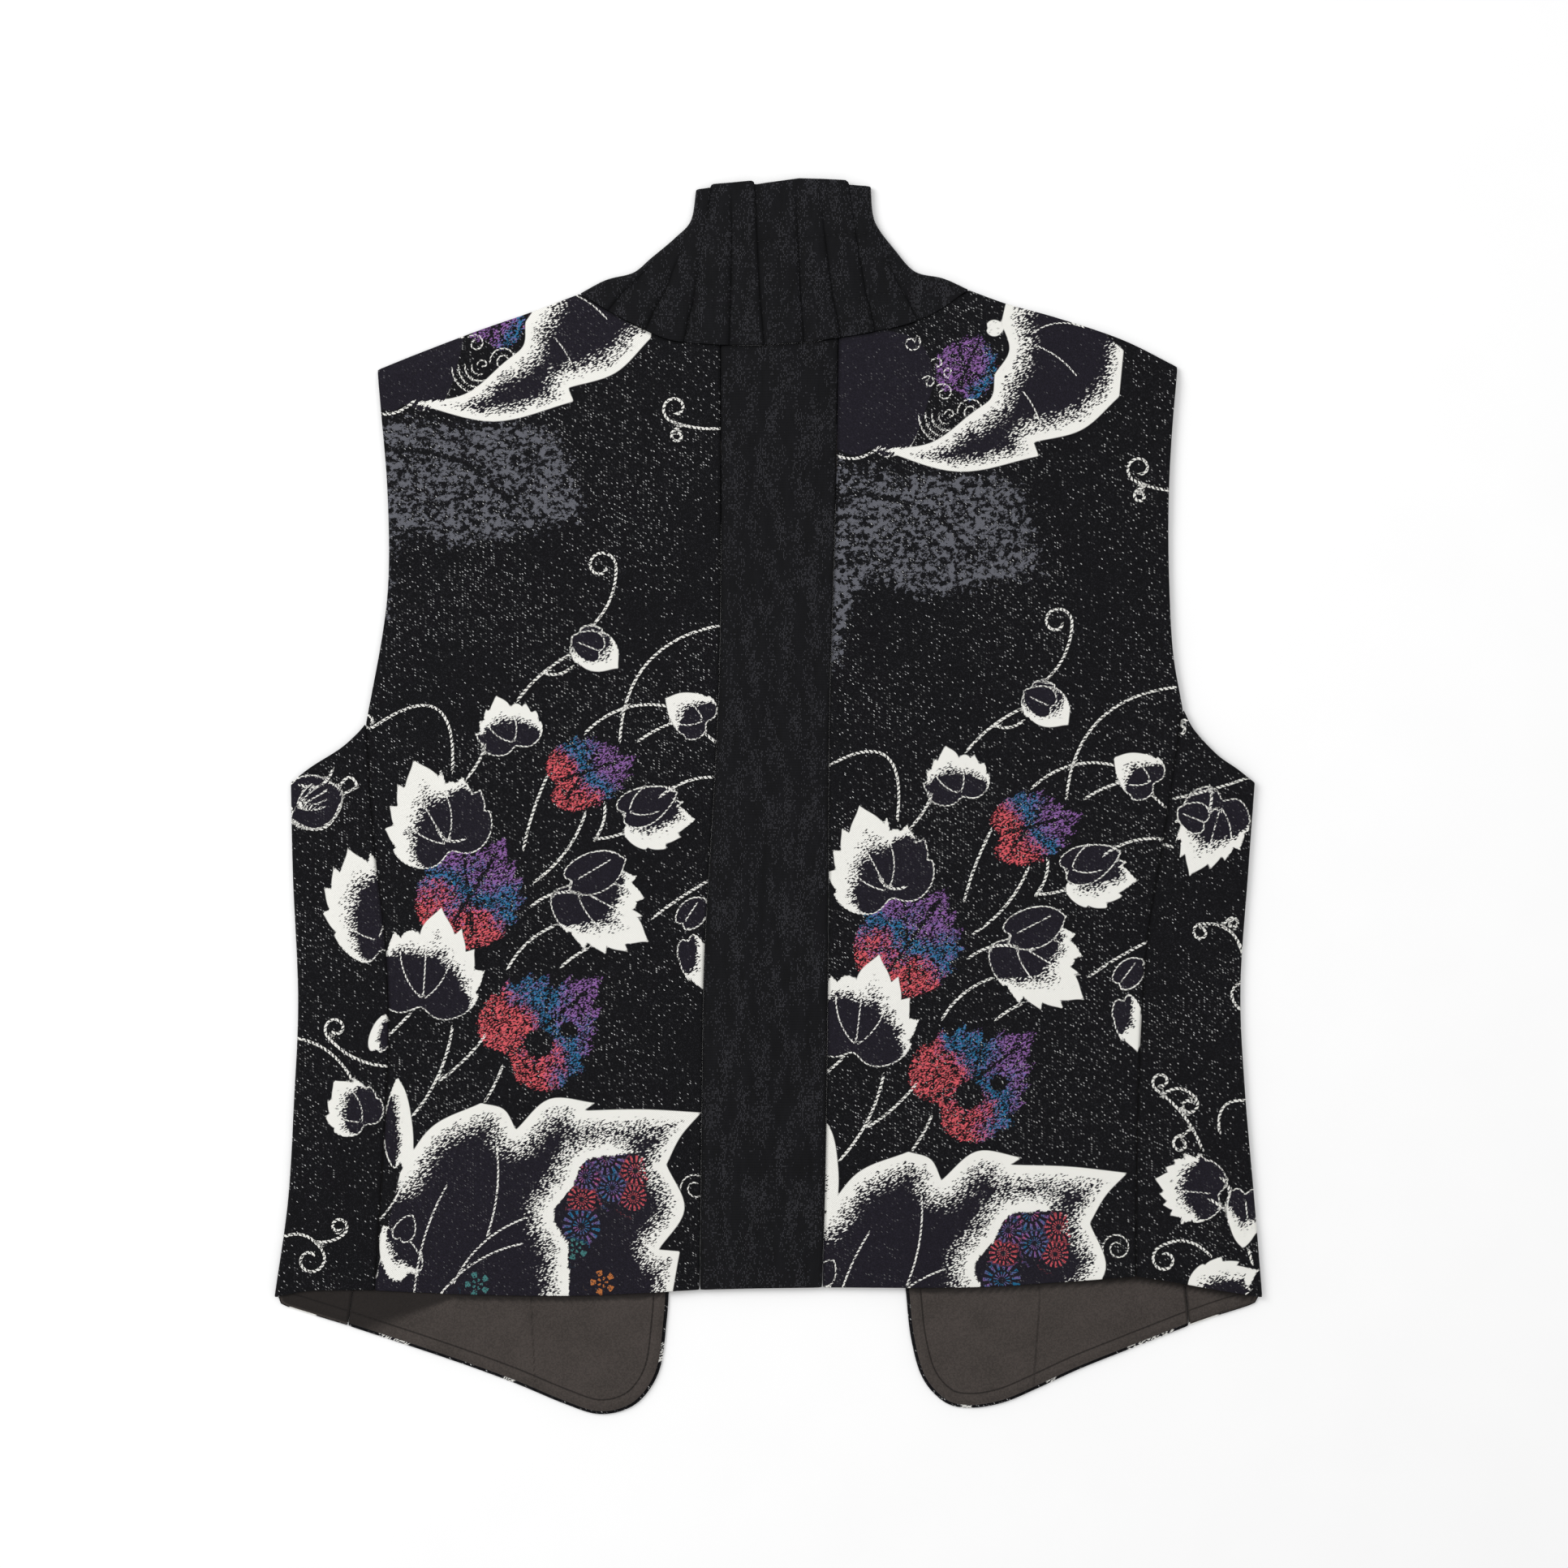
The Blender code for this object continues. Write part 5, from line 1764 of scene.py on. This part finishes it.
def pleat_columns(ends, count):
    """The collar's columns, so many to a pleat: for each its x, its raised height and the painted shade in
    its groove.

    All three are given at the pleats' four levels, and ends are the x of the collar's two ends there.
    """
    none = Pleat(*[0] * 8)
    places, crowns, groove_shades = [], [], []
    for before, after in zip((none, *PLEATS), (*PLEATS, none)):
        start = ends[0] + 2.4 if before is none else np.array(before[:4]) + 0.25
        end = ends[1] - 2.4 if after is none else np.array(after[:4]) - 0.25
        rise, fall = np.array(after[4:]), np.array(before[4:])
        for share in np.linspace(0, 1, count):
            crown = rise * (share**1.4 + 0.25 * math.sin(math.pi * share)) - 0.5 * fall * math.exp(-share * 9)
            places.append(start + share * (end - start))
            crowns.append(crown - 0.35 * rise * max(0.0, share - 0.9) / 0.1)
            groove_shades.append(fall * math.exp(-share * 12))
    return np.array(places), np.array(crowns), np.array(groove_shades)


def at_rows(values, share):
    """Values given at the pleats' levels, at each row of the collar."""
    return np.array([np.interp(share, PLEAT_LEVELS, value) for value in values]).T


def sewn_rows(share, width):
    """1 on the collar's two sewn rows, and 0 away from them."""
    return sum(np.exp(-(((share - level) / width) ** 2)) for level in PLEAT_LEVELS[1:3])[:, None]


def laid_on(start, end, outline):
    """Points from start to end, evenly spaced in x, at the height of an outline."""
    points = start + np.linspace(0, 1, 200)[:, None] * (end - start)
    points[:, 1] = np.interp(points[:, 0], *outline.T)
    return points


def pleated_back(left, right, share):
    """The collar's pleated back between its two ends: its places, its heights and its painted shade in pleat
    grooves and sewn rows.
    """
    neck = joined(line("neck_left"), line("neck_centre"), line("neck_right"))
    bottom, top = laid_on(left[0], right[0], neck), laid_on(left[-1], right[-1], np.array(COLLAR_TOP))
    base = patch(bottom, top, left, right)
    ends = [np.interp(PLEAT_LEVELS, share, edge[:, 0]) for edge in (left, right)]
    places, crowns, groove_shades = pleat_columns(ends, COLUMNS_TO_A_PLEAT)
    runs = np.array([smooth(np.column_stack([PLEAT_LEVELS, place]), 59)[:, 1] for place in places])
    levels = np.linspace(0, 1, 60)
    rows = []
    for row, level in enumerate(share):
        low, high = left[row, 0], right[row, 0]
        x = np.array([np.interp(level, levels, run) for run in runs])
        x = np.concatenate([[low], np.clip(x, low + 2.2, high - 2.2), [high]])
        x = np.maximum.accumulate(x + np.arange(len(x)) * 1e-3)
        rows.append(np.column_stack([x, np.interp(x, *base[row].T)]))
    back = drawn_in_rows(np.array(rows), SEAM_GAP / 2 + RIM, RIM)
    height = BACK_MID - 0.22 * sewn_rows(share, 0.014) + 0.4 * ripple(back)
    height[:, 1:-1] += at_rows(crowns, share)
    return back, height, at_rows(groove_shades, share) + 0.3 * sewn_rows(share, 0.012)


def collar_half(side, fold, share):
    """A plain front half of the collar, from the fold towards its opening."""
    opening = spaced(line("collar_opening_" + side), share)
    across = np.linspace(0, 1, 20 if side == "left" else 21)
    neck = spaced(line("front_neck_" + side), across)
    top = spaced(np.array([fold[-1], opening[-1]]), across)
    half = drawn_in_rows(patch(neck, top, fold, opening), 2 * SEAM_GAP + RIM, RIM)
    return with_height(half, FRONT_MID)[:, 2:]


def make_collar():
    """The stand collar: its pleated back, and its front halves under it. Gives its rows of stitches."""
    share = np.linspace(0, 1, steps_for(COLLAR_HEIGHT, COLLAR_STEP) + 1)
    left, right = (spaced(line("collar_" + side), share) for side in ("left", "right"))
    back, height, dark = pleated_back(left, right, share)
    parts = (
        collar_half("left", left, share)[:, ::-1],
        folded_edge(back[:, 0], back[:, 1])[:, ::-1],
        with_height(back, height)[:, 1:-1],
        folded_edge(back[:, -1], back[:, -2]),
        collar_half("right", right, share),
    )
    grid = np.concatenate(parts, axis=1)
    first = parts[0].shape[1] + parts[1].shape[1]
    crease = np.zeros(grid.shape[:2])
    # painted shade of the pleat grooves and sewn rows, on the pleated back only
    crease[:, first : first + dark.shape[1]] = np.clip(dark, 0, 1)
    grid, crease = thinned(grid), thinned(crease[..., None])
    lay_sheet(
        "collar_pleated", "collar", "plain_cloth", COLLAR_CUT,
        grid, plain_fields(grid, crease=crease), opened_collar(grid),
    )
    return [row_route(back, height, level) for level in PLEAT_LEVELS[1:3]]


def drawn_in_rows(grid, low, high):
    """The grid with its first row moved in by low and its last by high."""
    columns = []
    for column in np.swapaxes(grid, 0, 1):
        length = length_of(column)
        columns.append(spaced(column, low / length + shares_of(column) * (1 - (low + high) / length)))
    return np.stack(columns, axis=1)


def opened_collar(grid):
    """The collar's places on the flat cloth: the distance round it, and the height up it."""
    runs = []
    for axis in (1, 0):
        steps = np.linalg.norm(np.diff(grid, axis=axis), axis=2)
        runs.append(np.insert(steps.cumsum(axis), 0, 0, axis=axis))
    along, up = runs
    return np.stack([along - along.mean(1, keepdims=True), up], axis=-1)


def row_route(back, height, level):
    """The points along a sewn row of the collar, on top of its pleats."""
    row = round(level * (back.shape[0] - 1))
    places = np.column_stack([back[row, 3:-3], height[row, 3:-3] + RIM + 0.03])
    return spaced(places, np.linspace(0, 1, 160))


# Operators


class WAISTCOAT_OT_back(Operator):
    """Make the back: two patterned panels and the plain strip between them"""

    bl_idname = "waistcoat.back"
    bl_label = "Back"

    def execute(self, context):
        make_centre_strip()
        for side in ("left", "right"):
            make_back_panel(side)
        return {"FINISHED"}


class WAISTCOAT_OT_sides(Operator):
    """Make the side panels that wrap round to the front, and their linings"""

    bl_idname = "waistcoat.sides"
    bl_label = "Sides"

    def execute(self, context):
        for side in ("left", "right"):
            make_side_panel(side)
            make_side_lining(side)
        return {"FINISHED"}


class WAISTCOAT_OT_fronts(Operator):
    """Make the fronts, their linings and the stitches along the linings' edges"""

    bl_idname = "waistcoat.fronts"
    bl_label = "Fronts"

    def execute(self, context):
        for side in ("left", "right"):
            make_front(side)
            route = make_front_lining(side)
            sew("stitches_lining_" + side, [route], 0.62, 0.34, "lining_thread")
        return {"FINISHED"}


class WAISTCOAT_OT_collar(Operator):
    """Make the pleated collar and the two rows of stitches that hold its pleats"""

    bl_idname = "waistcoat.collar"
    bl_label = "Collar"

    def execute(self, context):
        sew("stitches_collar", make_collar(), 0.6, 0.3, "black_thread")
        return {"FINISHED"}


class WAISTCOAT_OT_stage(Operator):
    """Make the pale floor, the soft light and the camera that looks straight down"""

    bl_idname = "waistcoat.stage"
    bl_label = "Stage"

    def execute(self, context):
        settings = context.scene.waistcoat
        make_floor(settings)
        make_light()
        make_camera(settings)
        return {"FINISHED"}


def make_floor(settings):
    """A pale floor, just under the garment."""
    mesh = bpy.data.meshes.new("floor")
    corners = ((-1, -1), (1, -1), (1, 1), (-1, 1))
    mesh.from_pydata([(x * FLOOR_HALF, y * FLOOR_HALF, FLOOR_LOW) for x, y in corners], [], [(0, 1, 2, 3)])
    shade = Shade("pale_floor")
    grain = shade.noise(shade.place(), 0.02, 2.0)
    colour = shade.mix(grain, settings.floor[:], colour_of(247, 247, 247))
    mesh.materials.append(shade.finish(colour, 0.9, grain, 0.01, 0.1, 0.0))
    placed("floor", mesh)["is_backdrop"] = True


def make_light():
    """A white surround and two soft lamps, placed and sized in metres."""
    world = bpy.data.worlds.new("studio")
    world.use_nodes = True
    background = world.node_tree.nodes["Background"].inputs
    background["Color"].default_value = (1, 1, 1, 1)
    background["Strength"].default_value = 0.6
    bpy.context.scene.world = world
    for name, place, size, power in (
        ("softbox_left", (-1.5, 0.9, 1.7), 1.3, 30),
        ("softbox_top", (0.5, 0.3, 2.6), 2.2, 16),
    ):
        light = bpy.data.lights.new(name, "AREA")
        light.size = size
        light.energy = power
        lamp = placed(name, light)
        lamp.location = place
        lamp.rotation_euler = (-lamp.location).to_track_quat("-Z", "Y").to_euler()


def make_camera(settings):
    """A camera that looks straight down on the middle of the view."""
    data = bpy.data.cameras.new("camera")
    data.sensor_width = 36
    data.lens = data.sensor_width * settings.camera_height / settings.view_width
    camera = placed("camera", data)
    camera.location = (VIEW_CENTRE[0] * MM, VIEW_CENTRE[1] * MM, settings.camera_height)
    bpy.context.scene.camera = camera
    bpy.context.scene.view_settings.view_transform = "Standard"


class WAISTCOAT_PT_tools(Panel):
    """The waistcoat's pieces, in the order in which they are made"""

    bl_label = "Waistcoat"
    bl_idname = "WAISTCOAT_PT_tools"
    bl_space_type = "VIEW_3D"
    bl_region_type = "UI"
    bl_category = "Waistcoat"

    def draw(self, context):
        for operator in OPERATORS:
            self.layout.operator(operator.bl_idname)
        for name in WAISTCOAT_PG_settings.__annotations__:
            self.layout.prop(context.scene.waistcoat, name)


OPERATORS = (
    WAISTCOAT_OT_back, WAISTCOAT_OT_sides, WAISTCOAT_OT_fronts, WAISTCOAT_OT_collar, WAISTCOAT_OT_stage,
)
CLASSES = (WAISTCOAT_PG_settings, *OPERATORS, WAISTCOAT_PT_tools)


def register():
    for kind in CLASSES:
        bpy.utils.register_class(kind)
    bpy.types.Scene.waistcoat = PointerProperty(type=WAISTCOAT_PG_settings)


def unregister():
    del bpy.types.Scene.waistcoat
    for kind in reversed(CLASSES):
        bpy.utils.unregister_class(kind)


def main():
    register()
    bpy.ops.waistcoat.back()
    bpy.ops.waistcoat.sides()
    bpy.ops.waistcoat.fronts()
    bpy.ops.waistcoat.collar()
    bpy.ops.waistcoat.stage()
    boxes = {"cad": CAD_BOX, "visual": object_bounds()}
    {name: [list(corner) for corner in box] for name, box in boxes.items()}


if __name__ == "__main__":
    main()
